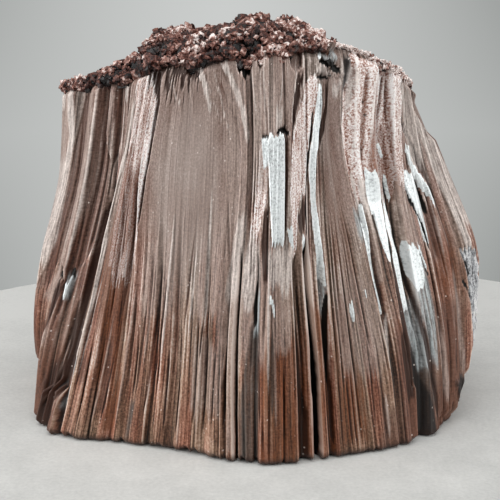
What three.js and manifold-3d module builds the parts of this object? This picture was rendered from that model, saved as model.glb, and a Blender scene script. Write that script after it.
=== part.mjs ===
// A specimen of pencil hematite: a wedge of columnar iron ore whose fibres fan
// out and down from a narrow rim, under a mound of granular crust. The fibres
// split along flat facets, so the wall is fluted, cracked and broken in steps.
// It grew as one piece, so it is one solid, and it stands on its flat foot.
// Millimetres, +Z up, the fluted front towards -Y, the origin mid-foot.
import * as THREE from "three";
import Module from "manifold-3d";
import { mergeVertices } from "three/addons/utils/BufferGeometryUtils.js";

// ---- Driving dimensions -------------------------------------------------
// Guide fibres, anticlockwise from the left arris. Each path is [x, y] at
// LEVELS, from the foot to the rim, and rim is the height where it ends.
const LEVELS = [0, 0.25, 0.5, 0.75, 1]; // shares of the fibre's height
const GUIDES = [
  { name: "left arris", rim: 60, path: [[-37.5, 10], [-38, 7], [-36.5, 3], [-33.5, 0.5], [-32, -1]] },
  { name: "first flute", rim: 61, path: [[-38, 5], [-38.5, 2], [-36, -1], [-31.5, -3], [-29.5, -4]] },
  { name: "second flute", rim: 61.5, path: [[-38.5, 0.5], [-37.5, -1.5], [-33.5, -4], [-29.5, -5.5], [-27, -6]] },
  { name: "third flute", rim: 62, path: [[-38.5, -3.5], [-36, -5], [-31.5, -6.5], [-27.5, -7], [-25, -7.5]] },
  { name: "dark flute", rim: 62.5, path: [[-36, -7.5], [-31.5, -8.5], [-27, -9], [-23.5, -9.5], [-21.5, -10]] },
  { name: "bright arris", rim: 63.5, path: [[-33, -11.5], [-29, -12], [-25, -12.5], [-21, -12], [-18.5, -11.5]] },
  { name: "left panel edge", rim: 65.5, path: [[-23.5, -14.5], [-21, -15], [-19, -15], [-17.5, -14.5], [-14.5, -13]] },
  { name: "left panel middle", rim: 66, path: [[-12.5, -18], [-11, -18.5], [-10, -18.5], [-9, -17], [-8, -15]] },
  { name: "fissure", rim: 67.5, path: [[-2.5, -22.5], [-2.5, -22], [-1.5, -21], [-0.5, -18.5], [-1, -15.5]] },
  { name: "bright plate", rim: 68, path: [[1.5, -23.5], [1.5, -23.5], [2, -22], [2.5, -19], [2.5, -15.5]] },
  { name: "deep crack", rim: 68, path: [[11.5, -21.5], [10.5, -22], [9, -20.5], [8.5, -17.5], [8, -15]] },
  { name: "bright strip", rim: 68, path: [[15, -20.5], [13.5, -21], [12, -19.5], [11, -17], [11.5, -14]] },
  { name: "right panel edge", rim: 68, path: [[26, -16], [23.5, -17], [19.5, -16.5], [15.5, -14.5], [15, -12.5]] },
  { name: "brown flute", rim: 65.5, path: [[29.5, -13.5], [28, -14], [24.5, -13], [21.5, -10.5], [21.5, -8.5]] },
  { name: "right flutes", rim: 62.5, path: [[35.5, -7.5], [34.5, -7.5], [31.5, -6.5], [27.5, -5], [25.5, -4]] },
  { name: "right arris", rim: 60.5, path: [[39.5, -1], [40.5, -1.5], [39.5, -1], [33.5, -0.5], [27, -1]] },
  { name: "right side", rim: 60.5, path: [[39, 9], [39.5, 8.5], [37.5, 8], [32, 6], [26.5, 5]] },
  { name: "back right corner", rim: 62, path: [[34.5, 19], [34.5, 18.5], [32, 17], [27, 14], [22, 11.5]] },
  { name: "back right", rim: 64.5, path: [[17, 24], [17, 23.5], [15, 22], [12.5, 18.5], [10, 16]] },
  { name: "back", rim: 66, path: [[-1, 24], [-1.5, 23.5], [-2.5, 22], [-3.5, 20], [-4, 17.5]] },
  { name: "back left", rim: 64, path: [[-21, 23], [-21, 22.5], [-20, 21], [-18, 18], [-17, 15]] },
  { name: "back left corner", rim: 61, path: [[-35, 18], [-35, 17.5], [-33.5, 15.5], [-30, 12.5], [-27.5, 9.5]] },
];

// Arrises and grooves between flat facets, as [place, depth]. A place counts
// guides: 5.4 is four tenths of the way from guide 5 to guide 6. Depth is how
// far the line stands out of the smooth wall, or in where it is negative.
const LEFT_FLUTES = [
  [0, -0.2], [0.5, 0.3], [1, 0.9], [1.35, 0.1], [2, -0.8], [2.45, 0.1], [3, 0.8], [3.2, 0.3],
  [3.5, -0.7], [3.66, -0.2], [3.85, -0.5], [4, -1.7], [4.25, -1.6], [4.4, -0.5], [4.75, -0.3],
];
const ROUGH_BAND = [[5, 0.6], [5.12, 0.3], [5.42, 0.5], [5.55, 0], [5.75, 0.2], [5.9, -0.5]];
const LEFT_PANEL = [
  [6, 0.3], [6.16, -0.1], [6.28, 0.35], [6.45, 0.3], [6.5, -0.5], [6.6, 0.3], [6.78, 0.25],
  [6.83, -0.4], [6.95, 0.2], [7.1, 0.35], [7.35, 0.3], [7.44, -0.4], [7.58, 0.35], [7.76, 0.2],
  [7.82, -0.45], [7.88, 0.4],
];
const MIDDLE_COLUMNS = [
  [7.97, 0.35], [8.01, -2.2], [8.05, -0.3], [8.35, 0.1], [8.7, -0.2], [8.76, -0.9], [8.9, -0.6],
  [9.02, 0.3], [9.14, 0.5], [9.2, 0.05], [9.35, 0.3], [9.5, 0.2], [9.64, 0.6], [9.68, -0.6],
  [9.76, -0.7], [9.9, 0.8],
];
const DEEP_CRACK = [[9.96, -3.4], [10.1, -3.2], [10.16, 0.3], [10.5, 0.3], [10.6, -0.8], [10.72, -0.7]];
const RIGHT_PANEL = [
  [11, 0.5], [11.15, 0.1], [11.3, 0.3], [11.42, -0.1], [11.6, 0.3], [11.8, 0.1], [11.95, 0.4],
];
const RIGHT_FLUTES = [
  [12.05, -0.3], [12.3, 0.6], [12.55, 0.2], [12.85, 0.5], [13, -1.6], [13.2, -1.3], [13.3, 0.4],
  [13.55, 0.7], [13.62, 0.1], [13.9, 0.5], [14.05, -0.3], [14.3, 0.6], [14.4, -0.2], [14.7, 0.6],
];

// The sides and the back are broken into reeds of uneven width and depth.
const BACK_REEDS = { from: 15, seed: 7, narrowest: 0.1, widest: 0.34, depth: 1.1 };

// Two panels are smooth above: their facets die out between these shares of the height.
const SMOOTH_PANELS = { across: [[6, 7.9], [11.1, 11.98]], fade: [0.42, 0.66] };

// Slabs that have broken out of the wall. Each reaches from one of LEDGES up to another,
// between two places across, and lies depth deeper than the wall round it.
const LEDGES = [0, 0.065, 0.28, 0.48, 0.68, 0.81, 0.93, 1];
const LEDGE_RISE = 0.012; // a ledge takes this share of the height
const SLABS = [
  { name: "bright plate", across: [8.96, 9.4], from: 3, to: 5, depth: 0.9 },
  { name: "broken block", across: [11.1, 11.97], from: 6, to: 7, depth: 1.2 },
  { name: "bright chips", across: [12.2, 12.7], from: 3, to: 5, depth: 0.6 },
  { name: "right chips", across: [13.6, 14.1], from: 2, to: 4, depth: 0.7 },
  { name: "broken corner", across: [14.5, 16.2], from: 0, to: 1, depth: 2.4 },
  { name: "right flank", across: [14.95, 15.7], from: 2, to: 3, depth: 0.9 },
  { name: "left hollow", across: [1.9, 2.7], from: 2, to: 3, depth: 0.8 },
  { name: "right side scar", across: [16.1, 16.7], from: 3, to: 6, depth: 1.2 },
  { name: "back slab", across: [17.7, 19.2], from: 3, to: 7, depth: 1.8 },
  { name: "back foot slab", across: [19.5, 20.4], from: 0, to: 2, depth: 1.4 },
  { name: "left side scar", across: [20.8, 21.6], from: 2, to: 5, depth: 1.3 },
];

// The foot's edge is bevelled, and the fibres' tops roll in under the crust.
const FOOT_BEVEL = { inset: 0.7, height: 0.018 };
const RIM_ROLL = { inset: 0.9, from: 0.965 };
const TALLEST_FACET = 0.12; // mesh rows are no further apart, as a share of the height
const WIDEST_FACET = 3.5; // mesh columns are no further apart along the foot

// The crust is a mound over the rim, whose rings shrink towards its centre. Its skyline
// is its height at each x, and it bears angular lumps, large on the left and fine on the right.
const MOUND_CENTRE = new THREE.Vector2(-2, 1);
const MOUND_FULL = 0.4; // it is full height this share of the way in
const MOUND_SWELLS = { cell: 4.2, height: 2 }; // it swells and sinks at about this spacing
const MOUND_RINGS = [
  { inward: 0.05, thin: 1 }, { inward: 0.14, thin: 2 }, { inward: 0.25, thin: 2 },
  { inward: 0.37, thin: 2 }, { inward: 0.5, thin: 4 }, { inward: 0.66, thin: 4 },
  { inward: 0.84, thin: 4 },
];
const SKYLINE = [
  [-33, 59.5], [-27, 61.5], [-21, 63], [-18, 65], [-15.5, 68], [-8.5, 68], [-6, 69.5], [0, 71],
  [4.5, 71], [10.5, 69], [17.5, 66.5], [22.5, 64.5], [27, 61],
];
const LUMPS = [
  { name: "knobs", count: 7, radius: [2, 2.8], detail: 1, x: [-26, 6] },
  { name: "lumps", count: 60, radius: [1.4, 2.4], detail: 0, x: [-30, 12] },
  { name: "grains", count: 14, radius: [1, 1.6], detail: 0, x: [8, 26] },
];
const LUMP_SEED = 3;
const LUMP_REACH = [0.01, 0.8]; // how far in they sit
const LUMP_CROWDING = 1.7; // above 1, they crowd towards the rim
const LUMP_SINK = 0.35; // of its radius, below the mound
const LUMP_SHAPE = { low: 0.75, high: 1.15 }; // uneven stretch along each axis

// ---- Small functions ----------------------------------------------------
const { lerp, smoothstep } = THREE.MathUtils;

// A repeatable run of numbers from 0 to 1.
function randomRun(seed) {
  let state = seed;
  return () => {
    state = (state * 1664525 + 1013904223) % 4294967296;
    return state / 4294967296;
  };
}

// Smooth swells about a cell apart, from -0.5 to 0.5.
function swells(x, y, cell) {
  const corner = (i, j) => {
    const wave = Math.sin(i * 127.1 + j * 311.7) * 43758.5453;
    return wave - Math.floor(wave) - 0.5;
  };
  const i = Math.floor(x / cell);
  const j = Math.floor(y / cell);
  const s = smoothstep(x / cell - i, 0, 1);
  const t = smoothstep(y / cell - j, 0, 1);
  const near = lerp(corner(i, j), corner(i + 1, j), s);
  const far = lerp(corner(i, j + 1), corner(i + 1, j + 1), s);
  return lerp(near, far, t);
}

// Straight lines through [x, value] points, level beyond the ends.
function alongLines(points, x) {
  const after = points.findIndex(([px]) => px > x);
  if (after === 0) return points[0][1];
  if (after < 0) return points[points.length - 1][1];
  const [x0, v0] = points[after - 1];
  const [x1, v1] = points[after];
  return lerp(v0, v1, (x - x0) / (x1 - x0));
}

// A smooth curve through values at uneven knots, between knots i and i + 1.
function alongCurve(knots, values, i, x) {
  const last = knots.length - 1;
  const rise = (a, b) => (values[b] - values[a]) / (knots[b] - knots[a]);
  const slope = (k) => {
    if (k === 0) return rise(0, 1);
    if (k === last) return rise(last - 1, last);
    const before = knots[k] - knots[k - 1];
    const after = knots[k + 1] - knots[k];
    return (rise(k - 1, k) * after + rise(k, k + 1) * before) / (before + after);
  };
  const width = knots[i + 1] - knots[i];
  const s = (x - knots[i]) / width;
  const ends = (2 * s ** 3 - 3 * s ** 2 + 1) * values[i] + (3 * s ** 2 - 2 * s ** 3) * values[i + 1];
  const slopes = (s ** 3 - 2 * s ** 2 + s) * slope(i) + (s ** 3 - s ** 2) * slope(i + 1);
  return ends + slopes * width;
}

// ---- The wall -----------------------------------------------------------
// Guides are repeated past both ends of the loop, so that its curves join smoothly.
const COUNT = GUIDES.length;
const PAD = 2;
const loop = Array.from({ length: COUNT + 2 * PAD + 1 }, (_, k) => GUIDES[(k - PAD + COUNT) % COUNT]);

// Distance along the foot to each guide in the loop.
const distances = [0];
for (let k = 1; k < loop.length; k++) {
  const [[x0, y0]] = loop[k - 1].path;
  const [[x1, y1]] = loop[k].path;
  distances.push(distances[k - 1] + Math.hypot(x1 - x0, y1 - y0));
}

const guideBefore = (place) => Math.min(Math.floor(place), COUNT - 1) + PAD;

function distanceAt(place) {
  const k = guideBefore(place);
  return lerp(distances[k], distances[k + 1], place + PAD - k);
}

// The smooth wall at a place round the loop and a share of the height.
function smoothWall(place, share) {
  const level = Math.min(Math.floor(share * (LEVELS.length - 1)), LEVELS.length - 2);
  const round = (values) => alongCurve(distances, values, guideBefore(place), distanceAt(place));
  const [x, y] = [0, 1].map((axis) =>
    round(loop.map(({ path }) => alongCurve(LEVELS, path.map((p) => p[axis]), level, share))),
  );
  return new THREE.Vector3(x, y, share * round(loop.map(({ rim }) => rim)));
}

function backReeds() {
  const { from, seed, narrowest, widest, depth } = BACK_REEDS;
  const random = randomRun(seed);
  const reeds = [];
  for (let place = from; place < COUNT - narrowest; place += lerp(narrowest, widest, random()))
    reeds.push([place, lerp(-depth, depth, random())]);
  return reeds;
}

const ARRISES = [
  ...LEFT_FLUTES, ...ROUGH_BAND, ...LEFT_PANEL, ...MIDDLE_COLUMNS, ...DEEP_CRACK, ...RIGHT_PANEL,
  ...RIGHT_FLUTES, ...backReeds(), [COUNT, LEFT_FLUTES[0][1]],
];

const inside = (x, [low, high]) => x > low && x < high;

// How far the wall stands out of its smooth form.
function relief(place, share) {
  let out = alongLines(ARRISES, place);
  if (SMOOTH_PANELS.across.some((span) => inside(place, span)))
    out *= 1 - smoothstep(share, ...SMOOTH_PANELS.fade);
  for (const { across, from, to, depth } of SLABS)
    if (inside(place, across) && inside(share, [LEDGES[from] - 1e-6, LEDGES[to]])) out -= depth;
  if (share < FOOT_BEVEL.height / 2) out -= FOOT_BEVEL.inset;
  const rolled = smoothstep(share, RIM_ROLL.from, 1);
  return out * (1 - rolled) - RIM_ROLL.inset * rolled;
}

function wallPoint(place, share) {
  const step = 0.01;
  const ahead = smoothWall(Math.min(place + step, COUNT), share);
  const behind = smoothWall(Math.max(place - step, 0), share);
  const forward = ahead.sub(behind).setZ(0).normalize();
  const outward = new THREE.Vector3(forward.y, -forward.x, 0);
  return smoothWall(place, share).addScaledVector(outward, relief(place, share));
}

// Splits the gaps in a sorted list until none is wider than widest, as measured by size.
function fillGaps(values, widest, size = (x) => x) {
  return values.flatMap((a, i) => {
    if (i + 1 === values.length) return [a];
    const parts = Math.ceil((size(values[i + 1]) - size(a)) / widest);
    return Array.from({ length: parts }, (_, k) => lerp(a, values[i + 1], k / parts));
  });
}

// The mesh has a column at every arris.
function columnPlaces() {
  const places = fillGaps(ARRISES.map(([place]) => place), WIDEST_FACET, distanceAt);
  places.pop();
  while (places.length % 4) places.push((places[places.length - 1] + COUNT) / 2);
  return places;
}

// It has a row above and below every ledge, and at the bevel and the roll.
function rowShares() {
  const ledges = LEDGES.slice(1, -1).flatMap((share) => [share - LEDGE_RISE / 2, share + LEDGE_RISE / 2]);
  const rows = [0, FOOT_BEVEL.height, ...ledges, RIM_ROLL.from, 1];
  return fillGaps(rows, TALLEST_FACET);
}

// ---- The crust ----------------------------------------------------------
function moundPoint(rimPoint, inward) {
  const flat = new THREE.Vector2(rimPoint.x, rimPoint.y).lerp(MOUND_CENTRE, inward);
  const height = lerp(rimPoint.z, alongLines(SKYLINE, flat.x), smoothstep(inward, 0, MOUND_FULL));
  const swell = swells(flat.x, flat.y, MOUND_SWELLS.cell) * MOUND_SWELLS.height;
  return new THREE.Vector3(flat.x, flat.y, height + swell * smoothstep(inward, 0, MOUND_FULL / 2));
}

function crustLumps(rim) {
  const random = randomRun(LUMP_SEED);
  const within = ([low, high]) => lerp(low, high, random());
  const stretch = () => lerp(LUMP_SHAPE.low, LUMP_SHAPE.high, random());
  return LUMPS.flatMap(({ count, radius, detail, x }) => {
    const found = [];
    while (found.length < count) {
      const inward = lerp(...LUMP_REACH, random() ** LUMP_CROWDING);
      const at = moundPoint(rim[Math.floor(random() * rim.length)], inward);
      if (!inside(at.x, x)) continue;
      const size = within(radius);
      at.z -= LUMP_SINK * size;
      const lump = new THREE.IcosahedronGeometry(size, detail);
      lump.scale(stretch(), stretch(), stretch());
      lump.rotateX(random() * Math.PI);
      lump.rotateZ(random() * Math.PI);
      lump.translate(at.x, at.y, at.z);
      found.push(lump);
    }
    return found;
  });
}

// ---- The solid ----------------------------------------------------------
// The wall and the mound as one closed mesh, loop above loop.
function wallAndMound(places, rim) {
  const rows = rowShares().map((share) => places.map((place) => wallPoint(place, share)));
  const rings = MOUND_RINGS.map(({ inward, thin }) =>
    rim.filter((_, j) => j % thin === 0).map((point) => moundPoint(point, inward)),
  );
  const points = [];
  const triangles = [];
  const addLoop = (line) => line.map((p) => points.push(p.x, p.y, p.z) / 3 - 1);
  const next = (line, j) => line[(j + 1) % line.length];

  const lines = [...rows, ...rings].map(addLoop);
  for (let r = 0; r + 1 < lines.length; r++) {
    const [low, high] = [lines[r], lines[r + 1]];
    const halved = high.length < low.length;
    high.forEach((d, j) => {
      const c = next(high, j);
      if (halved) {
        const [a, b] = [low[2 * j], low[2 * j + 1]];
        triangles.push(a, b, d, b, c, d, b, next(low, 2 * j + 1), c);
      } else triangles.push(low[j], next(low, j), c, low[j], c, d);
    });
  }
  const [footCentre] = addLoop([new THREE.Vector3(MOUND_CENTRE.x, MOUND_CENTRE.y, 0)]);
  const [topCentre] = addLoop([moundPoint(rim[0], 1)]);
  const [foot, top] = [lines[0], lines[lines.length - 1]];
  foot.forEach((a, j) => triangles.push(footCentre, next(foot, j), a));
  top.forEach((a, j) => triangles.push(a, next(top, j), topCentre));

  const geometry = new THREE.BufferGeometry();
  geometry.setAttribute("position", new THREE.Float32BufferAttribute(points, 3));
  geometry.setIndex(triangles);
  return geometry;
}

const wasm = await Module();
wasm.setup();

function toManifold(geometry) {
  geometry.deleteAttribute("normal");
  geometry.deleteAttribute("uv");
  const merged = mergeVertices(geometry);
  const vertProperties = merged.attributes.position.array;
  const triVerts = new Uint32Array(merged.index.array);
  return new wasm.Manifold(new wasm.Mesh({ numProp: 3, vertProperties, triVerts }));
}

function specimenGeometry() {
  const places = columnPlaces();
  const rim = places.map((place) => wallPoint(place, 1));
  const solid = crustLumps(rim).map(toManifold).reduce(
    (whole, lump) => whole.add(lump),
    toManifold(wallAndMound(places, rim)),
  );
  const { vertProperties, triVerts } = solid.getMesh();
  const geometry = new THREE.BufferGeometry();
  geometry.setAttribute("position", new THREE.BufferAttribute(vertProperties, 3));
  geometry.setIndex(new THREE.BufferAttribute(triVerts, 1));
  geometry.computeBoundingBox();
  const middle = geometry.boundingBox.getCenter(new THREE.Vector3());
  geometry.translate(-middle.x, -middle.y, 0);
  geometry.computeVertexNormals();
  return geometry;
}

const hematite = new THREE.MeshStandardMaterial({ color: 0x6b4b41, roughness: 0.42, metalness: 0.45 });

const specimen = new THREE.Group();
const stone = new THREE.Mesh(specimenGeometry(), hematite);
stone.name = "pencil_hematite";
specimen.add(stone);

export default specimen;
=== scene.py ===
"""The finish of a pencil hematite specimen: a fan of iron-ore fibres under a mound of granular crust.

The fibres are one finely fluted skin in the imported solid's place, drawn from the same guide fibres.
Lengths are millimetres until a mesh is made, which is in metres.
"""

import math
from collections import namedtuple

import bmesh
import bpy
import numpy as np
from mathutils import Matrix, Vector


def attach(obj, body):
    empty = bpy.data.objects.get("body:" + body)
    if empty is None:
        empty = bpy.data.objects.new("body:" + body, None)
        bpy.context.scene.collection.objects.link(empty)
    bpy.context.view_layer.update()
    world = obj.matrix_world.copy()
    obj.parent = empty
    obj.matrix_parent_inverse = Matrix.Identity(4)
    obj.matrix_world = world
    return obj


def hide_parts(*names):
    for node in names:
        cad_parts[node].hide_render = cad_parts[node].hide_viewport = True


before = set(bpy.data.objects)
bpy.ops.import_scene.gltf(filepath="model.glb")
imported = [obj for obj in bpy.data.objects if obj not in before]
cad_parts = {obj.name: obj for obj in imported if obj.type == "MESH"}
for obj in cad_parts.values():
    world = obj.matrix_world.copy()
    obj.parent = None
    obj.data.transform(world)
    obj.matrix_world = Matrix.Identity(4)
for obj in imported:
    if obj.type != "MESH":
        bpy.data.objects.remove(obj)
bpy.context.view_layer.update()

NODE = "pencil_hematite"
MM = 0.001
# The guides are measured from the middle of the front, and the part's origin is under its box.
ORIGIN = np.array([0.915, 0.344, 0.0])

# ---- The guide fibres ---------------------------------------------------
# Anticlockwise from the left arris: where each fibre ends at the rim, and its x, y at LEVELS.
LEVELS = np.array([0, 0.25, 0.5, 0.75, 1])
Guide = namedtuple("Guide", "rim path")
GUIDES = [
    Guide(60, [(-37.5, 10), (-38, 7), (-36.5, 3), (-33.5, 0.5), (-32, -1)]),  # left arris
    Guide(61, [(-38, 5), (-38.5, 2), (-36, -1), (-31.5, -3), (-29.5, -4)]),  # first flute
    Guide(61.5, [(-38.5, 0.5), (-37.5, -1.5), (-33.5, -4), (-29.5, -5.5), (-27, -6)]),
    Guide(62, [(-38.5, -3.5), (-36, -5), (-31.5, -6.5), (-27.5, -7), (-25, -7.5)]),
    Guide(62.5, [(-36, -7.5), (-31.5, -8.5), (-27, -9), (-23.5, -9.5), (-21.5, -10)]),  # dark flute
    Guide(63.5, [(-33, -11.5), (-29, -12), (-25, -12.5), (-21, -12), (-18.5, -11.5)]),  # bright arris
    Guide(65.5, [(-23.5, -14.5), (-21, -15), (-19, -15), (-17.5, -14.5), (-14.5, -13)]),
    Guide(66, [(-12.5, -18), (-11, -18.5), (-10, -18.5), (-9, -17), (-8, -15)]),  # left panel middle
    Guide(67.5, [(-2.5, -22.5), (-2.5, -22), (-1.5, -21), (-0.5, -18.5), (-1, -15.5)]),  # fissure
    Guide(68, [(1.5, -23.5), (1.5, -23.5), (2, -22), (2.5, -19), (2.5, -15.5)]),  # bright plate
    Guide(68, [(11.5, -21.5), (10.5, -22), (9, -20.5), (8.5, -17.5), (8, -15)]),  # deep crack
    Guide(68, [(15, -20.5), (13.5, -21), (12, -19.5), (11, -17), (11.5, -14)]),  # bright strip
    Guide(68, [(26, -16), (23.5, -17), (19.5, -16.5), (15.5, -14.5), (15, -12.5)]),
    Guide(65.5, [(29.5, -13.5), (28, -14), (24.5, -13), (21.5, -10.5), (21.5, -8.5)]),  # brown flute
    Guide(62.5, [(35.5, -7.5), (34.5, -7.5), (31.5, -6.5), (27.5, -5), (25.5, -4)]),
    Guide(60.5, [(39.5, -1), (40.5, -1.5), (39.5, -1), (33.5, -0.5), (27, -1)]),  # right arris
    Guide(60.5, [(39, 9), (39.5, 8.5), (37.5, 8), (32, 6), (26.5, 5)]),
    Guide(62, [(34.5, 19), (34.5, 18.5), (32, 17), (27, 14), (22, 11.5)]),
    Guide(64.5, [(17, 24), (17, 23.5), (15, 22), (12.5, 18.5), (10, 16)]),
    Guide(66, [(-1, 24), (-1.5, 23.5), (-2.5, 22), (-3.5, 20), (-4, 17.5)]),  # back
    Guide(64, [(-21, 23), (-21, 22.5), (-20, 21), (-18, 18), (-17, 15)]),
    Guide(61, [(-35, 18), (-35, 17.5), (-33.5, 15.5), (-30, 12.5), (-27.5, 9.5)]),
]

# Arrises and grooves between flat facets, as (place, depth). A place counts guides, and depth is
# how far the wall stands out there.
ARRISES = [
    (0, -0.2), (0.5, 0.3), (1, 0.9), (1.35, 0.1), (2, -0.8), (2.45, 0.1), (3, 0.8), (3.2, 0.3),
    (3.5, -0.7), (3.66, -0.2), (3.85, -0.4), (4, -1.2), (4.25, -1.3), (4.4, -0.5), (4.75, -0.3),
    (5, 0.6), (5.12, 0.3), (5.42, 0.5), (5.55, 0), (5.75, 0.2), (5.9, -0.5),
    (6, 0.3), (6.16, -0.1), (6.28, 0.35), (6.45, 0.3), (6.5, -0.5), (6.6, 0.3), (6.78, 0.25),
    (6.83, -0.4), (6.95, 0.2), (7.1, 0.35), (7.35, 0.3), (7.44, -0.4), (7.58, 0.35), (7.76, 0.2),
    (7.82, -0.45), (7.88, 0.4),
    (7.97, 0.35), (8.01, -2.2), (8.05, -0.3), (8.35, 0.1), (8.7, -0.2), (8.76, -0.9), (8.9, -0.6),
    (9.02, 0.3), (9.14, 0.5), (9.2, 0.2), (9.35, 0.3), (9.5, 0.3), (9.64, 0.6), (9.68, -0.6),
    (9.76, -0.7), (9.9, 0.8),
    (9.96, -3.4), (10.1, -3.2), (10.16, 0.3), (10.5, 0.3), (10.6, -0.8), (10.72, -0.7),
    (11, 0.5), (11.15, 0.1), (11.3, 0.3), (11.42, -0.1), (11.6, 0.3), (11.8, 0.1), (11.95, 0.4),
    (12.05, -0.3), (12.3, 0.6), (12.55, 0.2), (12.85, 0.5), (13, -1.6), (13.2, -1.3), (13.3, 0.4),
    (13.55, 0.7), (13.62, 0.1), (13.9, 0.5), (14.05, -0.3), (14.3, 0.6), (14.4, -0.2), (14.7, 0.6),
]
# In the upper half the middle columns run differently: these replace the arrises between 7.9 and 12.
HIGH_ARRISES = [
    (7.93, 0.3), (8.02, 0.35), (8.06, -0.35), (8.3, -0.5), (8.36, 0.1), (8.6, 0.25), (8.9, 0.1),
    (9.0, 0.15), (9.1, 0.3), (9.46, 0.35), (9.49, -0.2), (9.54, -0.2), (9.57, 0.35), (9.8, 0.5),
    (10.15, 0.3), (10.25, -0.3), (10.32, 0.2), (10.6, 0.5), (10.9, 0.35), (10.98, -0.2),
    (11.15, 0.1), (11.5, 0.3), (11.95, 0.4),
]
HIGH_FROM = (0.47, 0.56)  # the shares between which the lower arrises give way to the upper ones

# ---- The rim, the mound and the foot ------------------------------------
MOUND_CENTRE = np.array([-2.0, 1.0])
MOUND_FULL = 0.4  # how far in from the rim the mound reaches its skyline
SKYLINE = np.array([  # x and height
    (-33, 59.5), (-27, 61.5), (-21, 63), (-18, 65), (-15.5, 68), (-8.5, 69), (-6, 69.8), (0, 70.4),
    (4.5, 70.4), (10.5, 69), (17.5, 66.5), (22.5, 64.5), (27, 61),
])
BEVEL = 0.7  # how far the broken ends of the fibres are drawn in, and over what height
BEVEL_HEIGHT = 1.0
FOOT_INSET = 1.6  # the flat foot lies this far inside the broken ends
ROLL = 0.9  # how far the rim rolls in under the crust
ROLL_FROM = 0.965  # the share of the height above which it rolls in

COUNT = len(GUIDES)
PAD = 2  # guides repeated past both ends of the loop, so that its curves join smoothly
LOOP = [GUIDES[(k - PAD) % COUNT] for k in range(COUNT + 2 * PAD + 1)]
PATHS = np.array([guide.path for guide in LOOP], float)
RIMS = np.array([[guide.rim] for guide in LOOP], float)
DISTANCES = np.concatenate([[0], np.cumsum(np.linalg.norm(np.diff(PATHS[:, 0], axis=0), axis=1))])


def smoothstep(x, low=0.0, high=1.0):
    t = np.clip((x - low) / (high - low), 0, 1)
    return t * t * (3 - 2 * t)


def curve(knots, values, at):
    """A smooth curve through rows of values at uneven knots, read at each number in at."""
    steps = np.diff(knots)
    rises = np.diff(values, axis=0) / steps[:, None]
    slopes = np.concatenate([rises[:1], np.zeros_like(rises[1:]), rises[-1:]])
    before, after = steps[:-1, None], steps[1:, None]
    slopes[1:-1] = (rises[:-1] * after + rises[1:] * before) / (before + after)
    i = np.clip(np.searchsorted(knots, at, side="right") - 1, 0, len(steps) - 1)
    width = steps[i][:, None]
    s = ((at - knots[i]) / steps[i])[:, None]
    ends = (2 * s**3 - 3 * s**2 + 1) * values[i] + (3 * s**2 - 2 * s**3) * values[i + 1]
    return ends + width * ((s**3 - 2 * s**2 + s) * slopes[i] + (s**3 - s**2) * slopes[i + 1])


def distance_at(place):
    """How far round the foot a place is."""
    return np.interp(np.asarray(place, float) + PAD, np.arange(len(DISTANCES)), DISTANCES)


def place_at(distance):
    return np.interp(distance, DISTANCES, np.arange(len(DISTANCES))) - PAD


def smooth_wall(across, share):
    """Points of the smooth wall: one row for each share of the height, one column for each distance."""
    paths = curve(DISTANCES, PATHS.reshape(len(LOOP), -1), across).reshape(len(across), -1, 2)
    rims = curve(DISTANCES, RIMS, across)[:, 0]
    weights = curve(LEVELS, np.eye(len(LEVELS)), share)
    flat = np.einsum("rl,cla->rca", weights, paths)
    return np.dstack([flat, share[:, None] * rims])


def outward(across, share):
    """The level direction out of the smooth wall at each of its points."""
    step = 0.1
    forward = smooth_wall(across + step, share) - smooth_wall(across - step, share)
    level = np.dstack([forward[..., 1], -forward[..., 0], np.zeros(forward.shape[:2])])
    return level / np.linalg.norm(level, axis=2, keepdims=True)


# ---- Random grain -------------------------------------------------------
LATTICE = 128  # rows and columns of random values, which then repeat


def grain(u, v, seed):
    """Smooth random swells from -1 to 1, about one unit apart in u and in v."""
    lattice = np.random.default_rng(seed).uniform(-1, 1, (LATTICE, LATTICE))
    i, j = np.floor(u).astype(int), np.floor(v).astype(int)
    s, t = smoothstep(u - i), smoothstep(v - j)

    def corner(di, dj):
        return lattice[(i + di) % LATTICE, (j + dj) % LATTICE]

    near = corner(0, 0) * (1 - s) + corner(1, 0) * s
    far = corner(0, 1) * (1 - s) + corner(1, 1) * s
    return near * (1 - t) + far * t


# Swells of relief: how far they stand out, how wide they are, and how many there are up the height.
Swells = namedtuple("Swells", "height width up seed")


def swells(kind, across, share):
    return kind.height * grain(across[None] / kind.width, share[:, None] * kind.up, kind.seed)


# Ribbons are from narrow to wide across, with a step between two, stand out by up to depth, and
# change at so many levels of the height.
Ribbons = namedtuple("Ribbons", "narrow wide step depth levels seed")
COARSE_RIBBONS = Ribbons(narrow=0.9, wide=2.8, step=0.15, depth=0.2, levels=5, seed=11)
FINE_RIBBONS = Ribbons(narrow=0.45, wide=1.2, step=0.12, depth=0.05, levels=7, seed=12)
LINE_HALF_WIDTH = 0.17  # of the thin lines between ribbons
LINE_FAINTNESS = 0.7  # above 0, more of those lines are faint
WOBBLE = 0.3  # how far ribbons stray sideways, in swells this wide and so many to the height
WOBBLE_WIDTH = 9
WOBBLES_UP = 4


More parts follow.
